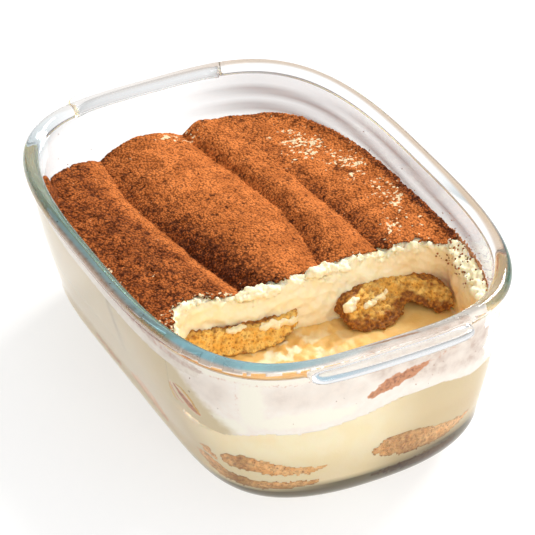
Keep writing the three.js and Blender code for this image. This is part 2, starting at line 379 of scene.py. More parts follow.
class Paint:
    """A material in the making."""

    def __init__(self, name):
        self.material = bpy.data.materials.new(name)
        self.material.use_nodes = True
        self.nodes = self.material.node_tree.nodes
        self.links = self.material.node_tree.links
        self.shader = self.nodes["Principled BSDF"]
        self.output = self.nodes["Material Output"]
        self.where = self.node("TexCoord", {}, {}, "Object")

    def node(self, kind, settings, inputs, output=0):
        made = self.nodes.new("ShaderNode" + kind)
        for name, value in settings.items():
            setattr(made, name, value)
        for name, value in inputs.items():
            self.feed(made.inputs[name], value)
        return Wire(self, made.outputs[output])

    def feed(self, socket, value):
        if isinstance(value, Wire):
            self.links.new(value.socket, socket)
        elif isinstance(value, (tuple, list)) and len(value) == 3 and socket.type == "RGBA":
            socket.default_value = (*value, 1)
        else:
            socket.default_value = value

    def set(self, **sockets):
        for name, value in sockets.items():
            self.feed(self.shader.inputs[name.replace("_", " ")], value)

    def scaled(self, size):
        """Object coordinates in steps of the given millimetres."""
        return self.node("VectorMath", {"operation": "SCALE"}, {0: self.where, "Scale": 1 / (size * MM)})

    def grain(self, size, detail=2.0, roughness=0.5):
        """Noise from 0 to 1 with lumps of the given size in millimetres."""
        inputs = {"Vector": self.scaled(size), "Scale": 1.0, "Detail": detail, "Roughness": roughness}
        return self.node("TexNoise", {}, inputs)

    def cells(self, size):
        """Distance to the nearest of many scattered points, in units of their spacing."""
        return self.node("TexVoronoi", {"feature": "F1"}, {"Vector": self.scaled(size), "Scale": 1.0})

    def value(self, name):
        return self.node("Attribute", {"attribute_name": name}, {}, "Fac")

    def between(self, wire, low, high):
        """0 below low, 1 above high, with a soft step between."""
        settings = {"interpolation_type": "SMOOTHSTEP"}
        return self.node("MapRange", settings, {"Value": wire, "From Min": low, "From Max": high})

    def blend(self, factor, first, second):
        return self.node("Mix", {"data_type": "RGBA"}, {0: factor, 6: first, 7: second}, 2)

    def bumps(self, height, depth, distance=1.0):
        """Small relief: depth in millimetres for a height from 0 to 1."""
        return self.node("Bump", {}, {"Height": height, "Strength": depth, "Distance": distance * MM})


# %% [markdown]
# ## Glass
# Clear pressed glass has almost no colour across a 4 mm wall, but looks teal where one looks along it, at the
# bead and the foot. Absorption inside the body would also turn the food behind it green, so the tints are kept
# on the vertices instead: teal, partly the glass's own and partly painted reflection; a painted sky-blue
# reflection; the cream seen through the bead, painted on as straw; painted shade in streaks on the upper
# inside of the right wall; and painted shade at the foot. Light that is only on its way to the food passes
# straight through, which keeps the food bright and the picture clean.

# %% Glass
CLEAR = (0.965, 0.975, 0.98)
# the tint of each stored value; apart from part of the teal, each is painted: reflection, the cream seen
# through the bead, and shade
GLASS_TINTS = {
    "teal": (0.014, 0.082, 0.115),
    "sky": (0.03, 0.33, 0.55),
    "refracted_cream": (0.36, 0.22, 0.12),
    "right_wall_shade": (0.13, 0.088, 0.080),
    "shade": (0.014, 0.013, 0.006),
}


def glass_finish():
    paint = Paint("dish_glass")
    colour = CLEAR
    for name, tint in GLASS_TINTS.items():
        colour = paint.blend(paint.value(name), colour, tint)
    paint.set(Base_Color=colour, Roughness=0.0, IOR=1.48, Transmission_Weight=1.0)
    ray = paint.node("LightPath", {}, {}, "Is Shadow Ray")
    scattered = paint.node("LightPath", {}, {}, "Is Diffuse Ray")
    passing = paint.node("Math", {"operation": "MAXIMUM"}, {0: ray, 1: scattered})
    clear = paint.node("BsdfTransparent", {}, {"Color": (0.98, 0.985, 0.985)})
    body = Wire(paint, paint.shader.outputs[0])
    mixed = paint.node("MixShader", {}, {0: passing, 1: body, 2: clear})
    paint.links.new(mixed.socket, paint.output.inputs["Surface"])
    return paint.material


# %% [markdown]
# ## The dish
# The whole dish is one ring, extruded from the middle of the foot up the outside, over the bead and down the
# inside. The lugs belong to the same skin: between the wall and the bead there are two profiles, a plain neck
# and a lug with a round nose, and each place round the dish takes its share of each.

# %% Profiles and rings
AROUND = 432
LUG_HALF, LUG_REACH, LUG_THICK, LUG_DROP, LUG_CORNER = 31.0, 6.0, 3.5, 2.1, 6.0
SWELL_Z = 62.0
BEAD_Z = HEIGHT - BEAD


def foot_rings(low, radius, inset, steps):
    angles = np.linspace(0, np.pi / 2, steps + 1)
    return [(low + radius * (1 - math.cos(a)), inset + radius * (1 - math.sin(a))) for a in angles]


def arc(z, inset, radius, start, end, count):
    """Places on a round edge as (z, inset); 0 degrees faces out of the dish and 90 up."""
    turns = np.radians(np.linspace(start, end, count))
    return list(zip(z + radius * np.sin(turns), inset - radius * np.cos(turns)))


def spread(profile, count):
    """The same profile with its places evenly apart."""
    profile = np.array(profile)
    far = np.concatenate([[0], np.cumsum(np.hypot(*np.diff(profile, axis=0).T))])
    places = np.linspace(0, far[-1], count)
    return np.column_stack([np.interp(places, far, profile[:, i]) for i in (0, 1)])


def lug_share(x, y):
    """1 over most of a lug, falling in a round corner to 0 at its two ends."""
    over = np.clip(np.abs(x) - (LUG_HALF - LUG_CORNER), 0, LUG_CORNER) / LUG_CORNER
    bowed = 1 - 0.12 * (x / LUG_HALF) ** 2
    return np.sqrt(1 - over**2) * bowed * (np.abs(y) > 60)


def lug_rings(join):
    """Rings from the wall to the bead, where the bead's round is joined at an angle in degrees."""
    neck_turn = -math.degrees(math.acos((BEAD - NECK) / BEAD))
    low, nose = HEIGHT - LUG_DROP - LUG_THICK, LUG_THICK / 2
    plain = spread([(SWELL_Z, NECK)] + arc(BEAD_Z, BEAD, BEAD, neck_turn, join, 14), 26)
    edge = [(SWELL_Z, NECK), (low - 1.0, NECK), (low - 0.3, NECK - 0.4), (low, NECK - 1.3)]
    edge += arc(low + nose, nose - LUG_REACH, nose, -90, 90, 9)
    lug = spread(edge + arc(BEAD_Z, BEAD, BEAD, join, join, 1), 26)
    base = outline(NECK_Z, NECK, AROUND)
    share = lug_share(base[:, 0], base[:, 1])
    rings = []
    for (z, inset), (lug_z, lug_inset) in zip(plain, lug):
        rings.append(outline(z + share * (lug_z - z), inset + share * (lug_inset - inset), AROUND))
    return rings


def dish_rings():
    """All rings of the dish, from the middle of its underside to the middle of its floor."""
    join = math.degrees(math.asin((BEAD - LUG_DROP) / BEAD))
    outside = [(0.0, NECK + FOOT_ROUND + 20), (0.0, NECK + FOOT_ROUND + 2)]
    outside += foot_rings(0.0, FOOT_ROUND, NECK, 10)
    outside += [(z, NECK) for z in np.linspace(FOOT_ROUND, SWELL_Z, 10)[1:-1]]
    inside = arc(BEAD_Z, BEAD, BEAD, join, 191, 20)[1:]
    inside += [(z, INNER) for z in np.linspace(NECK_Z - 2, BASE + INNER_ROUND, 22)]
    inside += foot_rings(BASE, INNER_ROUND, INNER, 10)[::-1][1:]
    inside += [(BASE, INNER + INNER_ROUND + 2), (BASE, INNER + INNER_ROUND + 20)]
    below, above = [[outline(z, inset, AROUND) for z, inset in side] for side in (outside, inside)]
    return below + lug_rings(join) + above


# %% Tints of the glass
# compass degrees round the dish, at which each row below gives a value
TINT_AT = [0, 60, 90, 118, 138, 165, 185, 215, 240, 270, 298, 312, 335, 350, 360]
# how strong the teal is, and between which places on the round of the bead it shows; it is partly the
# glass's own tint and partly painted reflection, set for each side of the dish
TEAL = [0.15, 0.05, 0.05, 0.25, 0.75, 0.95, 0.85, 0.50, 0.45, 0.42, 0.55, 1.00, 1.00, 0.30, 0.15]
TEAL_FROM = [110, 110, 110, 60, 0, 30, 32, 34, 42, 60, 60, -40, -40, 90, 110]
TEAL_TO = [230, 240, 240, 220, 215, 195, 185, 180, 165, 122, 122, 80, 110, 200, 230]
# a painted sky-blue reflection, between the same places on the bead as the teal
SKY_REFLECTION = [0, 0, 0, 0, 0.1, 0.3, 0.55, 0.9, 0.85, 0.12, 0.1, 0, 0, 0, 0]
# the same for the cream seen through the outer part of the bead, painted on as a straw colour
REFRACTED_CREAM = [0.95, 0.90, 0.55, 0.30, 0.15, 0.60, 0.75, 0.75, 0.60, 0.06, 0.25, 0.90, 0.95, 0.95, 0.95]
REFRACTED_CREAM_FROM = [25, 45, 60, 60, -60, -60, -60, -60, -60, -60, 60, 75, 60, 30, 25]
REFRACTED_CREAM_TO = [112, 130, 130, 130, 20, 42, 48, 50, 30, 10, 120, 150, 130, 115, 112]
TINT_SOFT = 26
# how high up the wall the painted shade at the foot reaches, where the thick base looks dark
SHADE_TOP = [6, 5, 5, 5, 5, 6, 7.5, 9.5, 12.0, 13.8, 15.5, 13.5, 10, 7, 6]


def window(value, low, high, soft):
    """1 between low and high, with soft ends."""
    return smooth((value - low) / soft + 0.5) * smooth((high - value) / soft + 0.5)


def tint_glass(body):
    x, y, z = spots(body).T
    inset = (stretch_to_outline(x, y, z, 0.0) - 1) * np.hypot(x, y)
    place = compass(x / HALF_WIDTH, y / HALF_LENGTH)
    turn = np.degrees(np.arctan2(z - BEAD_Z, BEAD - inset))
    turn = np.where(turn < -100, turn + 360, turn)
    bead = smooth((z - NECK_Z + 1.5) / 1.5) * (inset > -0.3)
    inside = (inset > NECK + 1.5) & (z > BASE + INNER_ROUND)

    def here(row):
        return np.interp(place, TINT_AT, row)

    teal, refracted_cream = (TEAL_FROM, TEAL_TO), (REFRACTED_CREAM_FROM, REFRACTED_CREAM_TO)
    # teal is partly the glass's own tint; the sky-blue and the cream seen through the bead are painted
    # reflection and refraction
    for name, amount, (low, high) in (("teal", TEAL, teal), ("sky", SKY_REFLECTION, teal), ("refracted_cream", REFRACTED_CREAM, refracted_cream)):
        keep_value(body, name, bead * here(amount) * window(turn, here(low), here(high), TINT_SOFT))
    band = window(z, 48, 67.5, 4)
    streak = 0.75 + 0.25 * np.sin(z * 1.9 + 0.05 * y)
    right = np.minimum(np.abs(place - 15), np.abs(place - 375))
    # painted shade, in streaks, on the upper inside of the right wall
    keep_value(body, "right_wall_shade", inside * band * streak * smooth((74 - right) / 36))
    # painted shade at the foot
    keep_value(body, "shade", 0.98 * smooth((here(SHADE_TOP) - z) / 2.4 + 0.5))
    return body


finish(tint_glass(loft(dish_rings())), "glass_dish", glass_finish(), "dish_glass", "dish")

# %% [markdown]
# ## Where the food's surfaces lie
# The knife left four round crests along the dish with sharp furrows between them. The spoon left a hollow
# whose back leans, with thin banks of cream on both side walls and a low bank against the front wall.

# %% Surfaces of the food
CREST, BACK_DROP, FLOOR, LIP = 53.0, 4.0, 32.0, 61.5
# the three furrows, as x at some places along the dish
FURROW_Y = [-22, -9, 6, 22, 42, 62, 90]
FURROW_X = [
    [-18, -20.5, -23, -24.5, -26.5, -27, -24],
    [13, 15.5, 18, 19, 17.5, 15.5, 12],
    [36.5, 36, 35.5, 34.5, 32.5, 31, 31],
]
FURROW_DEPTH = [1.0, 5.0, 3.8, 2.8, 1.5]
FURROW_BLUNT = 1.6
# the bank of cream against the front wall, the line of the cut, and how far its face leans
BANK_X = [-66, -60, -57, -51, -43, -33, -22, -7, 5, 21.5, 36, 50, 66]
BANK_Z = [45, 43.4, 40.3, 39.1, 38.7, 37.8, 38.5, 40.3, 42.8, 43.3, 39.7, 40, 44]
CUT_X = [-66, -60, -57, -53, -48, -42, -28, -8, 14, 32, 42, 48, 55, 58, 66]
CUT_Y = [-90, -72, -56, -37, -26, -21.5, -22.5, -25.5, -25, -25, -25.5, -28, -32, -36, -36]
LEAN_X = [-66, -54, -46, -38, -15, -2, 6, 14, 22, 50, 56]
LEAN = [0, 1.5, 2, 3, 4, 3, 4, 5, 5, 5, 2]


def furrow_at(x, y):
    """How far the surface lies under the crests; the rightmost furrow fades out before the back wall."""
    lines = [x * 0 - 72.0] + [np.interp(y, FURROW_Y, row) for row in FURROW_X] + [x * 0 + 74.0]
    depth, steady = np.zeros_like(x), np.ones_like(x)
    fading = [steady, steady, 1 + 0.25 * smooth((y - 40) / 40), 1 - smooth((y - 24) / 36), steady]
    depths = [deep * fade for deep, fade in zip(FURROW_DEPTH, fading)]
    for left, right, deep_left, deep_right in zip(lines, lines[1:], depths, depths[1:]):
        t = (x - left) / (right - left)
        inside = (t >= 0) & (t <= 1)
        to_edge = np.minimum(t, 1 - t) * (right - left)
        blunt = np.clip(np.hypot(to_edge, FURROW_BLUNT) - FURROW_BLUNT, 0, None)
        t = np.where(t < 0.5, blunt / (right - left), 1 - blunt / (right - left))
        deep = deep_left + (deep_right - deep_left) * t
        depth = np.where(inside, deep * (1 - np.sin(np.pi * np.clip(t, 0, 1)) ** 0.66), depth)
    return depth


def wall_distance(x, y, z):
    """How far inside the inner wall a place lies."""
    k = stretch_to_outline(x, y, z, inner_inset(z))
    return (k - 1) * np.hypot(x, y)


def top_at(x, y):
    """The height of the cocoa-covered top."""
    to_back = smooth((y + 20) / 115)
    height = CREST - furrow_at(x, y) - BACK_DROP * to_back + 1.5 * smooth(x / 60)
    height = height - 1.4 * smooth((y - 30) / 50) * smooth((x - 18) / 14)
    d = wall_distance(x, y, np.full_like(x, 52.0))
    side = smooth((np.abs(x) - 38) / 14)
    height = height + 1.8 * side * smooth((7 - d) / 7)
    lip = smooth((-40 - x) / 8) * smooth((y + 76) / 6) * smooth((74 - y) / 8)
    d = wall_distance(x, y, np.full_like(x, LIP))
    return height + (LIP - height) * lip * (1 - smooth((d - 1.0) / 5.0))


def floor_at(x, y):
    """The height of the hollow's floor and of the bank at its front."""
    bank = np.interp(x, BANK_X, BANK_Z) - FLOOR
    return FLOOR + bank * smooth((-56 - y) / 32) ** 1.3


def cut_at(x):
    return np.interp(x, CUT_X, CUT_Y)


print("top over the middle:", round(float(top_at(np.array([0.0]), np.array([0.0]))[0]), 1))

# %% [markdown]
# ## Cream
# Whipped mascarpone cream is soft and matt, pale yellow, and light wanders a few millimetres inside it. In the
# hollow, low on the torn face and towards its right a yellower colour is painted in for warm bounce light, and
# where it meets the glass, most along the left wall, painted shade makes it greyish, so the colour follows two
# stored values.

# %% Cream finish
def cream_finish():
    paint = Paint("cream")
    broad = paint.between(paint.grain(9.0, 3.0), 0.35, 0.7)
    fine = paint.grain(1.6, 3.0)
    pale = paint.blend(broad, (0.95, 0.87, 0.63), (0.94, 0.84, 0.55))
    warm = paint.blend(broad, (0.86, 0.55, 0.18), (0.82, 0.47, 0.12))
    # the cream's own warm tone and painted warm bounce light, by the stored value
    colour = paint.blend(paint.value("warmth_and_bounce"), pale, warm)
    # painted shade where the cream meets the glass
    colour = paint.blend(paint.value("wall_shade"), colour, (0.66, 0.50, 0.27))
    relief = fine * 0.7 + paint.grain(0.6, 2.0) * 0.3
    paint.set(
        Base_Color=colour,
        Roughness=paint.between(fine, 0.2, 0.9) * 0.2 + 0.42,
        Subsurface_Weight=0.35,
        Subsurface_Radius=(1.0, 0.6, 0.3),
        Subsurface_Scale=0.003,
        Normal=paint.bumps(relief, 0.5, 0.5),
    )
    return paint.material


cream = cream_finish()

# %% [markdown]
# ## The lower cream
# It fills the dish up to the floor of the hollow. The body is lofted a hair into the glass, so no gap of air
# shows, cut by the surface above, and remeshed. The skin near the glass is then drawn onto the glass again.

# %% Lower cream
INTO_GLASS = 0.12


def filling(top, into):
    """A body that fills the dish up to a height and reaches into the glass."""
    steps = foot_rings(BASE - into, INNER_ROUND, INNER - into, 8)
    heights = np.linspace(BASE + INNER_ROUND, top, 6)[1:]
    return loft([outline(z, i, 144) for z, i in steps] + [outline(z, INNER - into, 144) for z in heights])


def press_on_glass(points, into, reach):
    """Draws what lies within reach of the inner wall onto it."""
    x, y, z = points.T
    inset = inner_inset(np.maximum(z, BASE + 0.6)) - into
    k = stretch_to_outline(x, y, z, inset)
    away = (k - 1) * np.hypot(x, y)
    near = (away < reach) & (z > BASE + 2.5)
    out = points.copy()
    out[near, 0] *= k[near]
    out[near, 1] *= k[near]
    low = points[:, 2] < BASE + 0.7
    out[low, 2] = BASE - into
    return out


def wall_shade_tone(points):
    """Painted shade on the cream where it meets the glass: most on the left wall, on the right wall and front
    right, and more towards the bottom.
    """
    x, y, z = points.T
    at_wall = wall_distance(x, y, z) < 0.6
    place = compass(x, y)
    left = smooth((place - 120) / 25) * smooth((236 - place) / 18)
    low = smooth((32 - z) / 16)
    right = np.maximum(smooth((40 - place) / 20), smooth((place - 264) / 20))
    return at_wall * np.clip(0.95 * left + 0.9 * right + 0.55 * low, 0, 1)


lower = combine(
    filling(48.0, INTO_GLASS),
    block_below((-76, 76), (-104, 104), 1.6, floor_at, -5.0),
    "INTERSECT",
)
reskin(lower, 0.9)
p = spots(lower)
in_hollow = (p[:, 2] > FLOOR - 3) & (p[:, 1] < -16) & (normals(lower)[:, 2] > 0.3)
lumps = rough(p, 7.0, 3, 1.0) * 1.3 + rough(p, 2.2, 2, 2.0) * 0.5
lumpy = bell(p[:, 0], -6, 22) * 1.3 + 0.15
p[:, 2] += np.where(in_hollow, lumps * lumpy, 0)
p = press_on_glass(p, INTO_GLASS, 0.7)
move_spots(lower, p)
x, y, z = p.T
whitish = smooth((rough(p, 6.0, 2, 4.0) + 0.05) * 4) * bell(x, -8, 18) * bell(y, -40, 9)
clear = smooth((wall_distance(x, y, z) - 0.4) / 3)
# painted warm bounce light on the hollow's floor, less in a whitish streak and near the glass, over a little
# warm tone
keep_value(lower, "warmth_and_bounce", np.where(in_hollow, (0.86 - 1.1 * whitish) * clear, 0.0) + 0.20)
keep_value(lower, "wall_shade", wall_shade_tone(p))
finish(lower, "lower_cream", cream, "cream_lower", "cream_lower")

# %% [markdown]
# ## The upper cream
# The same loft, cut off at the ridged top and hollowed from the front. The cut face is torn rather than
# sliced: soft and wavy in the middle, and crumbly along its top edge.

# %% Upper cream
def hollow_ring(z, lean):
    """The outline of the hollow at a height, and on past the front wall."""
    xs = np.linspace(-60, 58, 90)
    ys = cut_at(xs) - lean * np.interp(xs, LEAN_X, LEAN)
    track = list(zip(xs, ys)) + [(54, -60), (51, -74), (46, -125), (-60, -125)]
    return np.array([(x, y, z) for x, y in track])


def half_space(low, high):
    """A box across the dish between two places along it."""
    bm = bmesh.new()
    bmesh.ops.create_cube(bm, size=1.0)
    bmesh.ops.scale(bm, vec=(200, high - low, 200), verts=bm.verts)
    bmesh.ops.translate(bm, vec=(0, (high + low) / 2, 40), verts=bm.verts)
    return body_of(bm, "box")


UNDER_COCOA = 0.5


def upper_cream_body():
    body = combine(
        filling(LIP, INTO_GLASS),
        block_below((-76, 76), (-104, 104), 1.3, lambda x, y: top_at(x, y) - UNDER_COCOA, FLOOR - 0.4),
        "INTERSECT",
    )
    rings = ((20.0, 1.0), (FLOOR, 1.0), (44.0, 0.62), (CREST, 0.0), (80.0, 0.0))
    return combine(body, loft([hollow_ring(z, lean) for z, lean in rings]), "DIFFERENCE")


def torn_cream(body):
    """Gives the cream its torn face, and keeps how warm its colour is."""
    p = spots(body)
    x, y, z = p.T
    ahead = cut_at(x) - y
    torn = smooth((ahead + 3.0) / 2.0) * smooth((z - FLOOR + 1) / 2)
    edge = bell(z - top_at(x, y), -0.6, 2.2)
    push = rough(p, 6.5, 2, 5.0) * 1.2 + rough(p, 2.6, 2, 6.0) * (0.45 + 1.2 * edge)
    push = push + rough(p, 1.2, 2, 7.0) * 0.35 * edge
    p = press_on_glass(p + normals(body) * (push * torn)[:, None], INTO_GLASS, 0.6)
    move_spots(body, p)
    x, y, z = p.T
    low_down = smooth((44 - z) / 11) * torn
    bank = smooth((ahead - 7) / 6) * smooth((x - 52) / 4) * smooth((z - 47) / 5)
    # painted warm bounce light, low on the torn face and towards its right
    warmth_and_bounce = 0.05 + 0.25 * low_down + 0.35 * torn * smooth((x - 30) / 16)
    keep_value(body, "warmth_and_bounce", warmth_and_bounce * (1 - 0.8 * edge * torn) * (1 - bank))
    keep_value(body, "wall_shade", wall_shade_tone(p))
    return body


def cream_part(front, back, voxel):
    """The upper cream between two places along the dish, with small or large quads."""
    return torn_cream(reskin(combine(upper_cream_body(), half_space(front, back), "INTERSECT"), voxel))


front_part = cream_part(-104, -8, 0.5)
back_part = cream_part(-11, 104, 1.3)
crumb_bed = front_part.copy()
crumb_bed.data = front_part.data.copy()
upper = joined(front_part, back_part)
finish(upper, "upper_cream", cream, "cream_upper", "cream_upper")

# %% [markdown]
# ## Skins on the glass
# Much of what shows through the wall is a thin skin pressed on its inside: the ends of the lower fingers, a
# milky film of cream, a streak of cocoa. Each is a patch of the inner wall, cut to a ragged outline. The
# outline is drawn with strokes, which are lines with a width, given as compass angle, height and half width.

# %% Strokes and skins
# a middling radius of the dish, which turns an angle into a length along the wall
RADIUS = 85.0


def stroke(*places):
    """How far inside a stroke each place lies, in millimetres; below 0 is outside."""
    places = np.array(places, dtype=float)
    along, up, half = np.radians(places[:, 0]) * RADIUS, places[:, 1], places[:, 2]

    def inside(angle, z):
        s = np.radians(angle) * RADIUS
        best = np.full(len(s), -99.0)
        for i in range(len(places) - 1):
            ds, dz = along[i + 1] - along[i], up[i + 1] - up[i]
            t = np.clip(((s - along[i]) * ds + (z - up[i]) * dz) / (ds * ds + dz * dz), 0, 1)
            away = np.hypot(s - along[i] - t * ds, z - up[i] - t * dz)
            best = np.maximum(best, half[i] + t * (half[i + 1] - half[i]) - away)
        return best

    inside.reach = (places[:, 0].min(), places[:, 0].max(), (up - half).min(), (up + half).max())
    return inside


def wall_skin(reach, pitch, into, keep):
    """An open skin just inside the inner wall, where keep(angle, z, points) is above 0."""
    first, last, low, high = reach
    skin = sheet(np.radians([first, last]) * RADIUS, (low, high), pitch, lambda along, up: 0 * up)
    along, z, _ = spots(skin).T
    angle = along / RADIUS
    x, y = np.cos(angle), np.sin(angle)
    k = stretch_to_outline(x, y, z, inner_inset(z) - into)
    points = np.column_stack([k * x, k * y, z])
    move_spots(skin, points)
    return without(skin, keep(np.degrees(angle), z, points) < 0)


def pressed_patch(shape, ragged, thickness):
    """A closed patch of a stroke's shape on the glass."""
    first, last, low, high = shape.reach
    reach = (first - 3, last + 3, max(low - 2, BASE + 0.3), high + 2)
    skin = wall_skin(reach, 0.5, 2 * INTO_GLASS, lambda a, z, p: shape(a, z) + rough(p, 1.6, 2, 8.0) * ragged)
    return thicken(skin, thickness, -1)


# %% [markdown]
# ## Sponge
# Savoiardi are full of small bubbles and soaked with coffee. The torn face is golden with dark pores, the
# baked skin and the wettest places are brown. The pores are real pits in the mesh; each vertex keeps how deep
# it lies, for painted shade in the pits, and how near the skin it is, for the colour.

# %% Sponge finish
def sponge_finish(name, light, deep, pore, soaked_and_shaded):
    paint = Paint(name)
    pit, skin = paint.value("pit"), paint.value("skin")
    web = paint.cells(1.5)
    fine = paint.cells(0.7)
    crumb = paint.blend(paint.between(paint.grain(3.5, 3.0), 0.35, 0.62), light, deep)
    crumb = paint.blend(paint.between(fine, 0.45, 0.05) * 0.55, crumb, pore)
    crumb = paint.blend(paint.between(web, 0.34, 0.12) * 0.8, crumb, pore)
    wet = paint.blend(paint.between(paint.grain(1.2, 2.0), 0.35, 0.7), soaked_and_shaded, pore)
    colour = paint.blend(skin, crumb, wet)
    # painted shade, darker in the pits
    colour = paint.blend(pit * 0.6, colour, (0.20, 0.06, 0.01))
    relief = paint.grain(0.5, 2.0) * 0.5 + fine * 0.5
    paint.set(
        Base_Color=colour,
        Roughness=paint.between(skin, 0.0, 1.0) * -0.25 + 0.78,
        Specular_IOR_Level=0.3,
        Subsurface_Weight=0.15,
        Subsurface_Radius=(1.0, 0.5, 0.2),
        Subsurface_Scale=0.002,
        Normal=paint.bumps(relief, 0.8, 0.5),
    )
    return paint.material


TORN_CRUMB = ((0.98, 0.66, 0.19), (0.88, 0.48, 0.09), (0.52, 0.20, 0.025), (0.21, 0.062, 0.008))
PRESSED_CRUMB = ((0.92, 0.54, 0.23), (0.80, 0.38, 0.12), (0.28, 0.09, 0.015), (0.46, 0.24, 0.06))
sponge = sponge_finish("sponge", *TORN_CRUMB)
sponge_on_glass = sponge_finish("sponge_on_glass", *PRESSED_CRUMB)

# %% [markdown]
# ## The lower sponge fingers
# Round-ended bars under the lower cream. They only show where they press against the glass, as long ragged
# patches, and a second, thinner band where the soaked underside meets the foot. So each bar is kept short of
# the wall, and its patches are joined to it as part of the same piece.

# %% Bars of sponge
def bar(left, right, low, high, front, back, pitch):
    """A round-edged bar along the dish with blunt ends."""
    bm = bmesh.new()
    bmesh.ops.create_cube(bm, size=2.0)
    bmesh.ops.subdivide_edges(bm, edges=bm.edges[:], cuts=24, use_grid_fill=True)
    body = body_of(bm, "bar")
    p = spots(body)
    half = np.array([(right - left) / 2, (back - front) / 2, (high - low) / 2])
    centre = np.array([(left + right) / 2, (back + front) / 2, (low + high) / 2])
    radius = np.array([half[2] * 0.9, half[2] * 0.9, half[2] * 0.75])
    size = np.abs(p) * half
    over = np.clip(size - (half - radius), 0, None) / radius
    length = np.maximum((over**2.2).sum(1) ** (1 / 2.2), 1e-9)
    shrink = np.where(length > 1, 1 / length, 1)
    size = np.minimum(size, half - radius) + over * shrink[:, None] * radius
    move_spots(body, np.sign(p) * size + centre)
    return reskin(body, pitch)


LOW_Z = BASE + 0.6
# for each bar its node, then left, right, low, high, front and back
LOWER_FINGERS = {
    "lower_finger_front_left": ("sponge_lower_front_left", (-56, -22, LOW_Z, 26.5, -99, -4)),
    "lower_finger_front_right": ("sponge_lower_front_right", (-6, 40, LOW_Z, 25.0, -99, -3)),
    "lower_finger_back_left": ("sponge_lower_back_left", (-55, -19, LOW_Z, 25.5, 2, 99)),
    "lower_finger_back_right": ("sponge_lower_back_right", (-4, 42, LOW_Z, 26.0, 3, 99)),
}
# where each bar is pressed against the glass
PRESSED = {
    "lower_finger_front_left": [
        stroke(
            (236, 20.6, 3.4), (239, 21.7, 4.1), (243.5, 20.4, 3.7),
            (249, 18.8, 2.5), (253.5, 18.5, 1.8), (257, 19.2, 0.6),
        ),
        stroke(
            (226.5, 16.5, 0.8), (230, 15.0, 3.0), (234, 11.6, 2.9),
            (242, 10.6, 2.4), (251, 11.6, 2.2), (255, 12.2, 1.2),
        ),
        stroke((227.8, 20.8, 0.6), (230, 20.5, 2.4), (232.5, 18.0, 1.0)),
        stroke((184, 15.0, 2.0), (193, 16.5, 4.4), (203, 16.0, 4.6), (211, 13.0, 2.0)),
    ],
    "lower_finger_front_right": [
        stroke(
            (269.3, 19.9, 2.4), (272, 20.1, 4.6), (276, 19.4, 5.5), (281, 18.4, 4.9),
            (286, 17.6, 4.0), (290, 17.6, 2.6), (294.5, 18.8, 1.0),
        ),
        stroke((268.5, 8.6, 0.8), (276, 8.2, 1.9), (283, 8.2, 2.5), (291, 9.0, 1.8)),
    ],
    "lower_finger_back_left": [
        stroke((106, 19, 2.0), (111, 20.5, 3.8), (118, 19.5, 3.4), (124, 18.5, 1.2)),
        stroke((150, 11.5, 1.2), (160, 11, 2.0), (170, 11.5, 1.2)),
        stroke((108, 9.5, 1.0), (116, 10, 1.8), (126, 10.5, 1.2)),
    ],
    "lower_finger_back_right": [
        stroke((66, 19, 1.6), (72, 20, 3.6), (82, 19, 4.4), (90, 18.5, 2.4)),
        stroke((68, 9, 1.2), (78, 9.5, 2.0), (88, 9.5, 1.2)),
    ],
}

for name, (node, size) in LOWER_FINGERS.items():
    finger = bar(*size, 1.0)
    p = spots(finger)
    x, y, z = p.T
    z = np.maximum(z, BASE + 0.4)
    held = np.minimum(stretch_to_outline(x, y, z, inner_inset(z) + 1.0), 1.0)
    p[:, 0] *= held
    p[:, 1] *= held
    move_spots(finger, p)
    finger = joined(finger, *[pressed_patch(shape, 0.9, 1.2) for shape in PRESSED[name]])
    p = spots(finger)
    x, y, z = p.T
    angle = compass(x, y)
    # painted shade in a pattern of pits, which these bars do not have in their mesh
    keep_value(finger, "pit", pits(p, 1.4, 3.0) * 0.8)
    within = np.max([shape(angle, z) for shape in PRESSED[name]], axis=0)
    dark = 0.7 * smooth((1.0 - within) / 1.2) * (0.6 + 0.6 * rough(p, 1.4, 2, 10.0))
    dark = 0.35 * smooth((15.5 - z) / 3) + dark + 0.7 * (bell(angle, 238, 3.0) + bell(angle, 276, 8.0))
    keep_value(finger, "skin", np.clip(dark + 0.5 * rough(p, 1.5, 2, 9.0), 0, 1))
    finish(finger, name, sponge_on_glass, "sponge_lower", node)

# %% [markdown]
# ## The upper sponge fingers
# Two fingers end at the cut, torn off by the spoon. A bar is cut back to a ragged face, which is ruled between
# a line along its foot and a line along its top, then remeshed finely and pitted. Behind the face the finger
# runs on through the food, where a coarser bar is enough.

# %% Upper fingers
UPPER_LOW = FLOOR + 0.6
FACE_LOW, FACE_HIGH = 33.0, 43.0
# the torn faces: x, then y along the foot, y along the top, height of the top and lift of the foot
LEFT_FACE = np.array([
    (-50, -29.0, -24.5, 40.5, 0.0),
    (-44, -30.0, -25.5, 41.5, 0.0),
    (-38, -31.0, -26.0, 41.5, 0.0),
    (-32, -32.0, -27.0, 41.0, 0.0),
    (-25, -34.0, -29.0, 40.8, 0.0),
    (-19, -35.0, -30.0, 40.8, 0.0),
    (-13, -35.2, -30.5, 40.4, 0.0),
    (-5, -32.4, -29.5, 40.4, 1.0),
    (1, -29.0, -26.5, 41.4, 2.0),
    (6, -26.0, -24.0, 41.0, 3.0),
])
RIGHT_FACE = np.array([
    (11, -37.0, -31.0, 41.0, 0.0),
    (16, -40.5, -34.0, 42.0, 0.0),
    (22, -42.5, -34.5, 42.8, 0.0),
    (28, -44.5, -30.5, 43.0, 0.0),
    (32, -43.5, -29.8, 43.2, 0.0),
    (37, -41.0, -28.8, 43.2, 0.8),
    (42.5, -38.5, -30.5, 43.0, 2.8),
    (46.5, -41.0, -33.5, 42.8, 1.6),
    (50, -44.5, -38.5, 42.6, 0.0),
    (57, -47.5, -44.5, 42.0, 0.0),
])


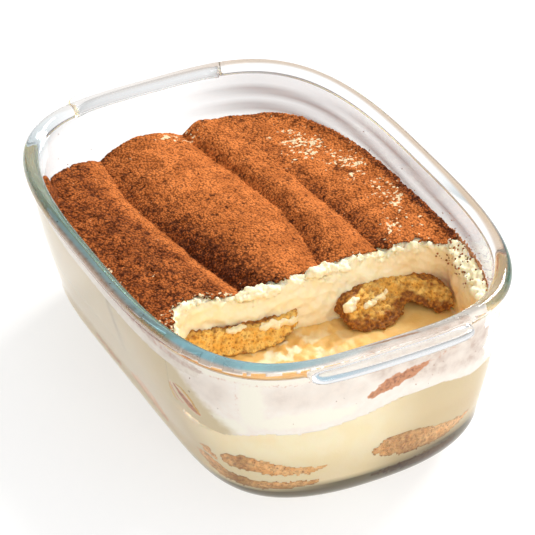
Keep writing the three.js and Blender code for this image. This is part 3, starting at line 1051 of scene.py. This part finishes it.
def torn_finger(size, table, seed, soaked_foot, mottled_and_shaded):
    """A bar whose near end is torn back to a ruled face; soaked_foot is how high the wet part reaches."""
    left, right, low, high, front, back = size

    def along(x, column):
        return np.interp(x, table[:, 0], table[:, column])

    def face_y(p):
        share = (p[:, 2] - FACE_LOW) / (FACE_HIGH - FACE_LOW)
        return along(p[:, 0], 1) + share * (along(p[:, 0], 2) - along(p[:, 0], 1))

    def shaped(body):
        p = spots(body)
        share = (p[:, 2] - low) / (high - low)
        top, foot = along(p[:, 0], 3), low + along(p[:, 0], 4)
        p[:, 2] = foot + share * (top - foot)
        return p

    face = bar(left, right, low, high, front - 8, -6, 0.8)
    p = shaped(face)
    p[:, 1] = np.maximum(p[:, 1], face_y(p))
    move_spots(face, p)
    reskin(face, 0.45)
    p = spots(face)
    n = normals(face)
    behind = p[:, 1] - face_y(p)
    hole = pits(p, 1.9, seed) * 0.8 + pits(p, 1.0, seed + 1) * 0.5
    push = rough(p, 3.6, 2, seed) * 1.0 + rough(p, 1.2, 2, seed + 2) * 0.5 - hole * 0.9
    move_spots(face, p + n * push[:, None])
    top, foot = along(p[:, 0], 3), low + along(p[:, 0], 4)
    crust = smooth((p[:, 2] - top + 1.6) / 1.4) * np.clip(0.15 + 0.9 * rough(p, 2.4, 2, seed + 5), 0, 1)
    soaked_and_shaded = smooth((foot + soaked_foot + 1.8 * rough(p, 3.0, 2, seed + 4) - p[:, 2]) / 2.4)
    # painted shade along the left end, for the right finger only, added to the soaked parts
    soaked_and_shaded = np.maximum(soaked_and_shaded, smooth((left + 2.4 - p[:, 0]) / 2.0) * mottled_and_shaded)
    # painted shade as deep as each pit
    keep_value(face, "pit", np.clip(hole, 0, 1))
    skin = np.maximum(np.maximum(crust, soaked_and_shaded * 0.9), smooth((behind - 1.2) / 2.0))
    skin = skin + mottled_and_shaded * np.clip(0.25 + 0.5 * rough(p, 2.8, 3, seed + 6), 0, 0.5)
    keep_value(face, "skin", np.clip(skin, 0, 1))
    rest = bar(left + 0.6, right - 0.6, low + 0.3, high - 0.5, -14, back, 1.2)
    p = shaped(rest)
    move_spots(rest, p)
    keep_value(rest, "pit", np.zeros(len(p)))
    keep_value(rest, "skin", np.ones(len(p)))
    return joined(face, rest)


left_finger = torn_finger((-48, 5.5, UPPER_LOW, 43.5, -36, 80), LEFT_FACE, 11.0, 1.4, False)
# a fold of soaked sponge, pressed on the glass at the front left corner
creases = [
    stroke((219.6, 45.2, 0.5), (219.9, 42.9, 0.9), (221, 39.2, 0.9), (222.6, 37.2, 0.4)),
    stroke((221.3, 46.6, 0.4), (223.8, 46.6, 0.7), (226.3, 44.0, 0.9), (228.6, 39.4, 0.9), (229.2, 38.0, 0.4)),
]
for shape in creases:
    patch = pressed_patch(shape, 0.25, 0.8)
    count = len(patch.data.vertices)
    keep_value(patch, "pit", np.zeros(count))
    keep_value(patch, "skin", np.full(count, 0.35))
    left_finger = joined(left_finger, patch)
finish(left_finger, "upper_finger_left", sponge, "sponge_upper", "sponge_upper_left")
right_finger = torn_finger((15.5, 56, UPPER_LOW, 43.5, -46, 60), RIGHT_FACE, 15.0, 4.6, True)
finish(right_finger, "upper_finger_right", sponge, "sponge_upper", "sponge_upper_right")

# %% [markdown]
# ## Dabs of cream
# The spoon dragged some cream over the torn fingers and left lumps along the edge of the cut. Each dab is a
# rough ball, pressed flat in one direction, and one remesh melts neighbours into each other.

# %% Dabs
# middle x, y, z and half sizes across, along and up
DABS = [
    (17.8, -36.5, 41.0, 2.6, 1.6, 2.2), (19.5, -35.5, 42.2, 2.0, 1.5, 1.4),
    (26, -36.6, 39.4, 3.0, 1.2, 1.3), (30, -34.8, 39.8, 2.6, 1.2, 1.2), (33.5, -33.6, 40.4, 2.0, 1.1, 1.0),
    (-14, -31.0, 40.2, 3.8, 1.4, 1.4), (-9, -31.0, 39.4, 4.0, 1.5, 1.5), (-4, -30.4, 38.6, 3.2, 1.4, 1.2),
    (-26, -29.6, 41.2, 4.0, 1.6, 0.9),
    (-15, -24.4, 50.9, 5.2, 3.2, 2.2), (-10, -25.2, 50.6, 4.6, 3.0, 2.0), (-20, -24.0, 50.2, 3.4, 2.6, 1.6),
    (10, -24.4, 51.4, 4.6, 3.2, 2.2), (15, -24.2, 51.2, 4.8, 3.0, 2.0), (21, -24.6, 51.0, 3.4, 2.6, 1.5),
]


def dab(x, y, z, across, along, up):
    bm = bmesh.new()
    bmesh.ops.create_icosphere(bm, subdivisions=3, radius=1.0)
    bmesh.ops.scale(bm, vec=(across, along, up), verts=bm.verts)
    bmesh.ops.translate(bm, vec=(x, y, z), verts=bm.verts)
    return body_of(bm, "dab")


dabs = reskin(joined(*[dab(*place) for place in DABS]), 0.4)
p = spots(dabs)
push = rough(p, 3.0, 2, 41.0) * 1.1 + rough(p, 1.2, 2, 42.0) * 0.4
push = push * (0.3 + 0.7 * smooth((p[:, 2] - 33) / 4))
move_spots(dabs, p + normals(dabs) * push[:, None])
# painted warm bounce light on the lower dabs and on those to the right
keep_value(dabs, "warmth_and_bounce", 0.25 * smooth((45 - p[:, 2]) / 4) + 0.25 * smooth((p[:, 0] - 24) / 10))
keep_value(dabs, "wall_shade", np.zeros(len(p)))
finish(dabs, "cream_dabs", cream, "cream_upper")

# %% [markdown]
# ## Films on the glass
# Above the food the wall is smeared: a milky, slightly pink film at the front with thick patches of cream and
# a streak of cocoa, a mauve line along the left side, and a line of cocoa on the right. The pink is partly the
# film's own and partly painted shade, which grows towards the right and lies along the left side, and the film
# has painted shade in its front left corner too. They are skins like the patches of sponge, but their colours
# run into each other, so each vertex keeps a share of every colour.

# %% Film finish
def film_finish():
    paint = Paint("film")
    cloud = paint.between(paint.grain(3.0, 3.0, 0.6), 0.3, 0.7)
    colour = paint.blend(cloud, (0.94, 0.83, 0.73), (0.96, 0.88, 0.79))
    # the film's own pink and painted shade, a darker copy of the film colour
    colour = paint.blend(paint.value("pink_and_shade") * (cloud * 0.6 + 0.4), colour, (0.60, 0.44, 0.35))
    colour = paint.blend(paint.value("thick"), colour, (0.97, 0.91, 0.77))
    # painted shade on the film in the front left corner, in the colour of the shaded cream beside it
    colour = paint.blend(paint.value("corner_shade"), colour, (0.66, 0.52, 0.30))
    dust = paint.value("dust") + (paint.grain(0.9, 3.0, 0.6) - 0.5) * 1.3
    colour = paint.blend(paint.between(dust, 0.40, 0.75), colour, (0.62, 0.25, 0.10))
    colour = paint.blend(paint.between(dust, 0.95, 1.25), colour, (0.34, 0.10, 0.03))
    paint.set(Base_Color=colour, Roughness=0.45, Normal=paint.bumps(paint.grain(1.0, 2.0), 0.3, 0.3))
    return paint.material


# %% Films
# strokes of thick cream, of the pinkish film in painted shade, of cocoa, and of lines on the left
FRONT_THICK = [
    stroke((240.6, 60.0, 3.2), (240.8, 52.0, 3.8), (241.2, 44.0, 3.8)),
    stroke((243, 42.5, 2.5), (250, 43.5, 3.6), (257, 43.5, 3.2), (262, 43.0, 1.4)),
    stroke((231, 61.6, 0.9), (243, 61.8, 1.4), (256, 61.8, 0.9)),
    stroke((222, 43.0, 5.0), (227, 39.5, 4.5), (233, 38.5, 4.0), (238, 39.0, 3.0)),
]
FRONT_PINK = [
    stroke((247, 55.0, 5.0), (256, 54.5, 6.0), (263, 52.0, 3.5)),
    stroke((268, 57.0, 3.0), (274, 55.0, 5.6), (284, 54.0, 7.5), (296, 52.0, 8.5)),
    stroke((227.5, 52.5, 4.5), (232.5, 53.0, 5.5)),
]
COCOA_STREAK = stroke((266.2, 46.6, 1.0), (271, 49.8, 2.9), (277, 52.4, 2.3), (280, 54.0, 1.0))
COCOA_GHOST = stroke((276, 53, 1.5), (284, 55.6, 1.8), (292, 57.5, 1.0))
COCOA_FRINGE = [
    stroke((232, 60.0, 0.8), (238, 60.5, 0.9), (248, 60.2, 0.8), (255, 60.8, 0.5)),
    stroke((237.6, 59.0, 0.8), (237.9, 50.0, 0.7), (238.4, 44.0, 0.5)),
]
MAUVE_LINE = stroke(
    (152, 63.2, 0.9), (172, 63.4, 1.1), (193, 63.2, 1.2), (210, 62.0, 1.3), (222, 60.2, 1.3), (230, 60.0, 1.0),
)
LEFT_BAND = stroke((148, 60.5, 1.5), (160, 60.2, 3.2), (200, 59.6, 3.6), (222, 59.0, 3.8), (228, 59.0, 3.0))
LOOP = [
    stroke((220.2, 46.0, 0.3), (220.8, 43.0, 0.5), (222.5, 40.2, 0.5), (224.2, 38.8, 0.3)),
    stroke((221.4, 46.0, 0.5), (224.0, 42.8, 1.3), (226.5, 40.0, 1.6), (228.8, 38.2, 0.9)),
]
SCRATCH = stroke((162.2, 44.5, 0.2), (168, 43.6, 0.35), (173, 44.6, 0.2))
# the lower edge of the front film, where the bank of cream begins, and its upper edge
BANK_PLACE = [221, 224, 229, 235, 240, 244.5, 250.6, 257.1, 266.5, 273.9, 283.9, 292.7, 300]
BANK_LINE = [37, 36, 34.5, 34.5, 37, 38.5, 37.7, 38.4, 40.1, 42.7, 43.1, 39.4, 39.0]
FILM_TOP = 64.6


def strongest(strokes, angle, z, soft):
    """1 well inside any of the strokes and 0 outside all of them."""
    return np.max([smooth(shape(angle, z) / soft + 0.5) for shape in strokes], axis=0)


def film_colours(skin, thick, pink_and_shade, dust, corner_shade=0.0):
    for name, share in (("corner_shade", corner_shade), ("thick", thick), ("pink_and_shade", pink_and_shade), ("dust", dust)):
        keep_value(skin, name, share + np.zeros(len(skin.data.vertices)))


def places_of(skin):
    p = spots(skin)
    return p, compass(p[:, 0], p[:, 1]), p[:, 2]


def front_film():
    def keep(angle, z, p):
        above_bank = z - np.interp(angle, BANK_PLACE, BANK_LINE) + 1.2
        right_edge = (298 - angle) * 1.4 + rough(p, 4.0, 3, 51.0) * 2.5 - 0.10 * (z - 45)
        below_rim = FILM_TOP - z + rough(p, 3.0, 2, 52.0) * 0.3
        return np.min([above_bank, right_edge, below_rim], axis=0)

    skin = wall_skin((219.5, 300, 33, 65.2), 0.6, INTO_GLASS * 1.2, keep)
    p, angle, z = places_of(skin)
    ragged = rough(p, 2.5, 3, 53.0) * 1.2
    thick = strongest(FRONT_THICK, angle + ragged * 0.5, z + ragged, 2.5)
    pink_and_shade = strongest(FRONT_PINK, angle, z + ragged, 6.0) * (0.55 + 0.35 * rough(p, 7.0, 2, 57.0))
    # more painted shade towards the right
    pink_and_shade = np.clip(pink_and_shade * (0.6 + 0.9 * smooth((angle - 262) / 8)), 0, 1)
    dust = np.max([
        strongest([COCOA_STREAK], angle, z + ragged * 0.6, 2.2) * (1.0 + 0.35 * rough(p, 1.5, 2, 60.0)),
        strongest([COCOA_GHOST], angle, z, 3.0) * 0.42,
        strongest(COCOA_FRINGE, angle, z + ragged * 0.5, 1.8) * 0.44,
        strongest(LOOP, angle, z + ragged * 0.2, 0.6) * (1.1 + 0.3 * rough(p, 1.2, 2, 61.0)),
    ], axis=0)
    # painted shade in the front left corner, below a slanting line
    corner_shade = smooth((np.interp(z, [36, 58], [237, 221]) - angle + ragged) / 5 + 0.5)
    film_colours(skin, thick * (1 - smooth(dust)), pink_and_shade, dust, corner_shade * (1 - smooth(dust)))
    return skin


def left_film():
    def keep(angle, z, p):
        drawn = np.max([shape(angle, z) for shape in (MAUVE_LINE, SCRATCH, LEFT_BAND)], axis=0)
        return drawn + rough(p, 1.5, 2, 54.0) * 0.3

    skin = wall_skin((146, 232, 42, 65.2), 0.5, INTO_GLASS * 1.6, keep)
    p, angle, z = places_of(skin)
    line = smooth(np.maximum(MAUVE_LINE(angle, z), SCRATCH(angle, z)) / 0.8 + 0.5)
    # the film on the left side is mostly pink with painted shade
    film_colours(skin, 0.3 * (1 - line), 0.75 + 0.25 * line, line * (0.35 + 0.2 * rough(p, 2.0, 2, 55.0)))
    return skin


def right_line():
    """A line of cocoa where the top of the right bank meets the glass."""
    line = stroke((336, 55.8, 0.8), (328, 56.2, 1.2), (319, 56.2, 1.5), (311, 55.4, 1.2))

    def keep(angle, z, p):
        return line(angle, z) + rough(p, 1.6, 3, 58.0) * 1.1

    skin = wall_skin((308, 340, 52, 60), 0.45, INTO_GLASS * 1.2, keep)
    film_colours(skin, 0.0, 0.0, 0.9 + 0.4 * rough(spots(skin), 1.2, 2, 59.0))
    return skin


films = thicken(joined(front_film(), left_film(), right_line()), 0.3, -1)
finish(films, "cream_films", film_finish(), "cream_upper")

# %% [markdown]
# ## Cocoa
# Cocoa powder lies half a millimetre deep, follows every ridge, and clumps into dark crumbs where it is
# damp. The layer is a grid over the ridges with its own relief, cut back to a ragged edge and given a
# thickness. Its stored values say how dark it is, from damp and from painted shade on the left and on the
# sides of the ridges that face left, and how sparse it is, where cream shows through.

# %% Cocoa finish
def cocoa_finish(name, tone):
    paint = Paint(name)
    damp_and_shade = paint.value("damp_and_shade")
    fine = paint.grain(0.85, 2.0, 0.6)
    clump = paint.grain(2.2, 3.0, 0.65)
    broad = paint.between(paint.grain(7.0, 3.0), 0.35, 0.65)
    dry = paint.blend(broad, (0.52, 0.146, 0.031), (0.74, 0.222, 0.053))
    wet = paint.blend(broad, (0.19, 0.038, 0.006), (0.29, 0.064, 0.011))
    # darker where damp and where painted shade falls on the left and on left-facing slopes
    colour = paint.blend(damp_and_shade, dry, wet)
    # painted shade: dark between the grains and in the low parts of the relief below
    dark = (0.045, 0.008, 0.001)
    small, large = paint.cells(0.95), paint.cells(1.9)
    shade_between_grains = paint.between(small + damp_and_shade * 0.14, 0.52, 0.70) * (damp_and_shade * 0.30 + 0.52)
    colour = paint.blend(shade_between_grains, colour, dark)
    colour = paint.blend(paint.between(large + damp_and_shade * 0.20, 0.78, 0.92) * 0.75, colour, dark)
    colour = paint.blend(paint.between(damp_and_shade * 0.16 - clump, -0.38, -0.30) * 0.55, colour, dark)
    holes = paint.grain(1.7, 1.0) * 0.68 + paint.grain(7.0, 1.0) * 0.32
    through = paint.between(holes + paint.value("sparse") * 0.24, 0.71, 0.77) * 0.85
    colour = paint.blend(through, colour, (0.95, 0.78, 0.50))
    colour = paint.blend(1 - tone, colour, (0.04, 0.008, 0.002))
    relief = fine * 0.3 + clump * 0.3 - small * 0.5 - large * 0.2
    bumps = paint.bumps(relief, 1.0, 1.3)
    paint.set(Base_Color=colour, Roughness=0.92, Specular_IOR_Level=0.12, Normal=bumps)
    return paint.material


cocoa = cocoa_finish("cocoa", 1.0)
cocoa_crumb = cocoa_finish("cocoa_crumb", 0.6)

# %% Cocoa layer
COCOA = 0.6


def cocoa_damp_and_shade(x, y):
    """How dark the powder is: damp clumps along the right wall and in random patches, painted shade over the
    left part and on the side of each ridge that faces left, and painted light on the side that faces right.
    """
    # painted shade, more towards the left
    damp_and_shade = smooth((4 - x) / 38) * 0.55
    for row, strength, width in zip(FURROW_X, (1.0, 0.6, 0.75), (20.0, 9.0, 10.0)):
        past = x - np.interp(y, FURROW_Y, row)
        side = smooth(past / 1.5 + 0.5) * (1 - smooth((past - 1) / width))
        near_cut = 0.55 + 0.25 * smooth((45 - y) / 55)
        # painted shade on the left-facing slope just right of each furrow
        damp_and_shade = np.maximum(damp_and_shade, strength * side * near_cut + damp_and_shade * 0.7)
        # painted light on the right-facing slope just left of each furrow
        damp_and_shade = damp_and_shade - 0.38 * smooth((past + 9) / 6) * smooth(-past / 1.5)
    d = wall_distance(x, y, np.full_like(x, 52.0))
    damp_and_shade = np.maximum(damp_and_shade, 0.8 * smooth((3.6 - d) / 2) * smooth((x - 30) / 10))
    here = np.column_stack([x, y, np.zeros_like(x)])
    back = smooth((y - 10) / 55) * smooth((x + 38) / 18)
    damp_and_shade = (damp_and_shade + rough(here, 5.0, 3, 24.0) * 0.22) * (1 - 0.6 * back)
    return np.clip(damp_and_shade, 0, 1)


# places where cream shows through: middle x and y, half width, half length, strength
SPARSE = [
    (46, 56, 11, 16, 0.85), (54, 34, 7, 14, 0.95), (56, 6, 6, 16, 0.95), (50, -14, 9, 7, 0.9),
    (-58, 6, 3.0, 14, 0.75), (-54, -36, 5, 12, 0.85), (-30, -20, 12, 3.0, 0.7), (-46, -27, 8, 5, 0.7),
    (8, 88, 12, 4, 0.8),
]


def cocoa_sparse(x, y):
    value = np.zeros_like(x)
    for cx, cy, wide, long, strength in SPARSE:
        value = np.maximum(value, strength * bell(x, cx, wide) * bell(y, cy, long))
    return value


def cocoa_height(x, y):
    here = np.column_stack([x, y, np.zeros_like(x)])
    damp_and_shade = cocoa_damp_and_shade(x, y)
    coarse = rough(here, 2.4, 2, 21.0) * (0.22 + 0.40 * damp_and_shade) + rough(here, 7.0, 2, 22.0) * 0.6
    return top_at(x, y) + 0.1 + coarse + rough(here, 1.25, 2, 26.0) * (0.20 + 0.30 * damp_and_shade)


layer = sheet((-67, 67), (-66, 94), 0.45, cocoa_height)
p = spots(layer)
x, y, z = p.T
to_wall = wall_distance(x, y, z)
ragged = rough(p, 6.0, 3, 23.0) * 3.4 + rough(p, 1.5, 2, 25.0) * 1.3
to_cut = y - cut_at(x) - 1.2 + ragged
damp_and_shade = cocoa_damp_and_shade(x, y)
near_cut = smooth((5 - to_cut) / 5)
keep_value(layer, "damp_and_shade", damp_and_shade)
keep_value(layer, "sparse", np.maximum(cocoa_sparse(x, y), 0.8 * near_cut * (rough(p, 6.0, 2, 27.0) > 0.1)))
loose = 0.16 + damp_and_shade * 1.1 + 0.5 * near_cut + 0.3 * smooth((4 - to_wall) / 4)
keep_value(layer, "grains", np.clip(loose, 0, 1))
keep_value(layer, "clumps", np.clip(damp_and_shade * 1.2 - 0.3, 0, 1) * smooth((to_wall - 3) / 3))
layer = without(layer, (to_wall < -0.1) | (to_cut < 0))


def faces_where(body, wanted):
    """A copy of the body with only the faces whose middles are in the wanted places."""
    bm = bmesh.new()
    bm.from_mesh(body.data)
    middles = np.array([face.calc_center_median() for face in bm.faces])
    lost = np.flatnonzero(~wanted(middles[:, 0], middles[:, 1]))
    bm.faces.ensure_lookup_table()
    bmesh.ops.delete(bm, geom=[bm.faces[i] for i in lost], context="FACES")
    return body_of(bm, "part")


def on_ridge(number):
    """Tells which places lie on a ridge, counted from the left."""
    lines = [-99] + FURROW_X + [99]

    def wanted(x, y):
        left = np.interp(y, FURROW_Y, np.zeros(7) + lines[number])
        right = np.interp(y, FURROW_Y, np.zeros(7) + lines[number + 1])
        return (x >= left) & (x < right)

    return wanted


# %% [markdown]
# ## Loose grains
# Loose crumbs of cocoa lie on the layer, more of them where it is damp and where painted shade darkens it.
# Geometry Nodes scatters one small lump over the surface with a seeded spread, and the result is made a plain
# mesh. The same helper strews crumbs of cream along the torn edge, and specks of cocoa on the glass and on the
# white banks.

# %% Scattering
def lump(radius, roughness, seed, fineness=1):
    """A small uneven grain of twenty faces, or eighty for a fineness of 2."""
    bm = bmesh.new()
    bmesh.ops.create_icosphere(bm, subdivisions=fineness, radius=radius)
    body = body_of(bm, "lump")
    p = spots(body)
    move_spots(body, p * (1 + rough(p, radius, 1, seed) * roughness)[:, None])
    return body


def scatter(surface, grain, per_area, value, smallest, largest, seed):
    """Many copies of a grain on a surface, as one mesh; a stored value thins them out."""
    tree = bpy.data.node_groups.new("scatter", "GeometryNodeTree")

    def node(kind, inputs, **settings):
        made = tree.nodes.new(kind)
        for name, setting in settings.items():
            setattr(made, name, setting)
        for name, value in inputs.items():
            if isinstance(value, bpy.types.NodeSocket):
                tree.links.new(value, made.inputs[name])
            else:
                made.inputs[name].default_value = value
        return made

    for way in ("INPUT", "OUTPUT"):
        tree.interface.new_socket("Geometry", in_out=way, socket_type="NodeSocketGeometry")
    source = node("NodeGroupInput", {})
    share = node("GeometryNodeInputNamedAttribute", {"Name": value}, data_type="FLOAT")
    density = node("ShaderNodeMath", {0: share.outputs["Attribute"], 1: per_area}, operation="MULTIPLY")
    inputs = {"Mesh": source.outputs[0], "Density": density.outputs[0], "Seed": seed}
    scattered = node("GeometryNodeDistributePointsOnFaces", inputs)
    inputs = {"Max": (6.3, 6.3, 6.3), "Seed": seed + 1}
    turn = node("FunctionNodeRandomValue", inputs, data_type="FLOAT_VECTOR")
    size = node("FunctionNodeRandomValue", {2: smallest, 3: largest, "Seed": seed + 2}, data_type="FLOAT")
    shape = node("GeometryNodeObjectInfo", {"Object": grain})
    inputs = {
        "Points": scattered.outputs["Points"],
        "Instance": shape.outputs["Geometry"],
        "Rotation": turn.outputs["Value"],
        "Scale": size.outputs[1],
    }
    copies = node("GeometryNodeInstanceOnPoints", inputs)
    real = node("GeometryNodeRealizeInstances", {"Geometry": copies.outputs["Instances"]})
    node("NodeGroupOutput", {"Geometry": real.outputs["Geometry"]})
    body = bpy.data.objects.new("scattered", surface.data.copy())
    bpy.context.scene.collection.objects.link(body)
    body.modifiers.new("scatter", "NODES").node_group = tree
    apply_modifiers(body)
    bpy.data.objects.remove(grain)
    bpy.data.node_groups.remove(tree)
    return body


grains = scatter(layer, lump(0.36, 0.5, 31.0), 1.15, "grains", 0.5, 1.45, 5)
clumps = scatter(layer, lump(0.95, 0.7, 32.0, 2), 0.018, "clumps", 0.5, 1.5, 8)
print("grains:", len(grains.data.polygons) // 20, "clumps:", len(clumps.data.polygons) // 80)
for number in range(4):
    ridge = thicken(faces_where(layer, on_ridge(number)), COCOA, 0.6)
    finish(ridge, f"cocoa_ridge_{number + 1}", cocoa, "cream_upper")
bpy.data.objects.remove(layer)
finish(grains, "cocoa_grains", cocoa_crumb, "cream_upper")
finish(clumps, "cocoa_clumps", cocoa_crumb, "cream_upper")

# %% Crumbs and specks
p = spots(crumb_bed)
x, y, z = p.T
ahead = cut_at(x) - y
edge = bell(top_at(x, y) - z, 0.8, 1.6) * smooth((ahead + 3) / 2) * smooth((8 - ahead) / 3)
keep_value(crumb_bed, "crumbs", edge)
right_bank = smooth((x - 52) / 7) ** 2 * smooth((z - 46) / 4) * smooth((ahead + 2) / 3)
right_bank = right_bank * (rough(p, 4.0, 2, 36.0) > -0.15)
left_bank = smooth((-50 - x) / 4) * smooth((z - 46) / 4) * smooth((ahead + 2) / 3)
keep_value(crumb_bed, "specks", np.clip(right_bank + left_bank, 0, 1))
crumbs = scatter(crumb_bed, lump(0.55, 0.5, 33.0, 2), 0.06, "crumbs", 0.5, 1.5, 11)
finish(crumbs, "cream_crumbs", cream, "cream_upper")
on_banks = scatter(crumb_bed, lump(0.34, 0.6, 35.0), 0.55, "specks", 0.5, 1.5, 14)
bpy.data.objects.remove(crumb_bed)


def glass_specks():
    """Specks of cocoa on the inside of the glass above the food, thinning out upwards."""
    skin = wall_skin((0, 360, 40, 66), 1.2, 0.0, lambda a, z, p: z)
    p, angle, z = places_of(skin)
    above = z - np.where(angle < 215, 48, 52)
    back_left = bell(angle, 128, 16) * np.exp(-np.clip(above, 0, None) / 4) * (above > -2)
    right = bell(np.where(angle > 180, angle - 360, angle), 2, 30) * np.exp(-np.clip(above, 0, None) / 5)
    corner = bell(angle, 322, 14) * bell(z, 57, 3.5) * 1.6
    front = bell(angle, 275, 16) * bell(z, 50, 4) * 0.6 + bell(angle, 238, 9) * bell(z, 44, 3) * 0.5
    keep_value(skin, "specks", np.clip(back_left + right * (above > -2) + corner + front, 0, 2))
    specks = scatter(skin, lump(0.22, 0.6, 37.0), 0.16, "specks", 0.5, 1.5, 17)
    bpy.data.objects.remove(skin)
    return specks


finish(joined(on_banks, glass_specks()), "cocoa_specks", cocoa_crumb, "cream_upper")

# %% [markdown]
# ## Floor and light
# A pale floor and soft light from the right and from the front, with a bright room all round that is greyer
# towards the horizon and on the left, so that the glass has something to draw its edges with.

# %% Floor and light
FLOOR_SIZE, FLOOR_DROP = 6.0, 0.0002


def floor_finish():
    paint = Paint("floor")
    soft = paint.grain(60.0, 2.0)
    colour = paint.blend(soft, (0.39, 0.39, 0.39), (0.41, 0.41, 0.41))
    paint.set(Base_Color=colour, Roughness=0.9, Emission_Color=(1.0, 1.0, 1.0), Emission_Strength=0.62)
    return paint.material


bm = bmesh.new()
bmesh.ops.create_grid(bm, x_segments=1, y_segments=1, size=FLOOR_SIZE)
floor = body_of(bm, "floor")
floor.data.transform(Matrix.Translation((0, 0, -FLOOR_DROP)))
floor.data.materials.append(floor_finish())


ON_DISH = (0, 0, 0.03)
LIGHT_BOUNCES = 32


def area_light(name, place, size, power, colour):
    """A soft square light that faces the dish."""
    light = bpy.data.lights.new(name, "AREA")
    light.size = size
    light.energy = power
    light.color = colour
    lamp = bpy.data.objects.new(name, light)
    aim = (Vector(ON_DISH) - Vector(place)).to_track_quat("-Z", "Y")
    lamp.matrix_world = Matrix.Translation(place) @ aim.to_matrix().to_4x4()
    bpy.context.scene.collection.objects.link(lamp)


def room():
    """A world that is bright overhead and on the right, and greyer at the horizon and on the left."""
    world = bpy.data.worlds.new("room")
    world.use_nodes = True
    tree = world.node_tree
    where = tree.nodes.new("ShaderNodeTexCoord")
    parts = tree.nodes.new("ShaderNodeSeparateXYZ")
    tree.links.new(where.outputs["Generated"], parts.inputs[0])
    steps = []
    for axis, low, high, dim, bright in (("Z", 0.05, 0.40, 0.35, 1.0), ("X", -0.6, 0.7, 0.5, 1.1)):
        step = tree.nodes.new("ShaderNodeMapRange")
        tree.links.new(parts.outputs[axis], step.inputs["Value"])
        for name, value in zip(("From Min", "From Max", "To Min", "To Max"), (low, high, dim, bright)):
            step.inputs[name].default_value = value
        steps.append(step)
    both = tree.nodes.new("ShaderNodeMath")
    both.operation = "MULTIPLY"
    for i, step in enumerate(steps):
        tree.links.new(step.outputs[0], both.inputs[i])
    background = tree.nodes["Background"]
    background.inputs["Color"].default_value = (1, 1, 1, 1)
    tree.links.new(both.outputs[0], background.inputs["Strength"])
    return world


area_light("key", (1.75, 1.0, 1.75), 0.8, 62.0, (1.0, 0.98, 0.95))
area_light("front", (-0.15, -1.45, 0.95), 0.9, 8.0, (1.0, 0.99, 0.97))
scene = bpy.context.scene
scene.world = room()
scene.view_settings.view_transform = "Standard"
scene.cycles.max_bounces = LIGHT_BOUNCES
scene.cycles.transmission_bounces = LIGHT_BOUNCES
scene.cycles.glossy_bounces = LIGHT_BOUNCES
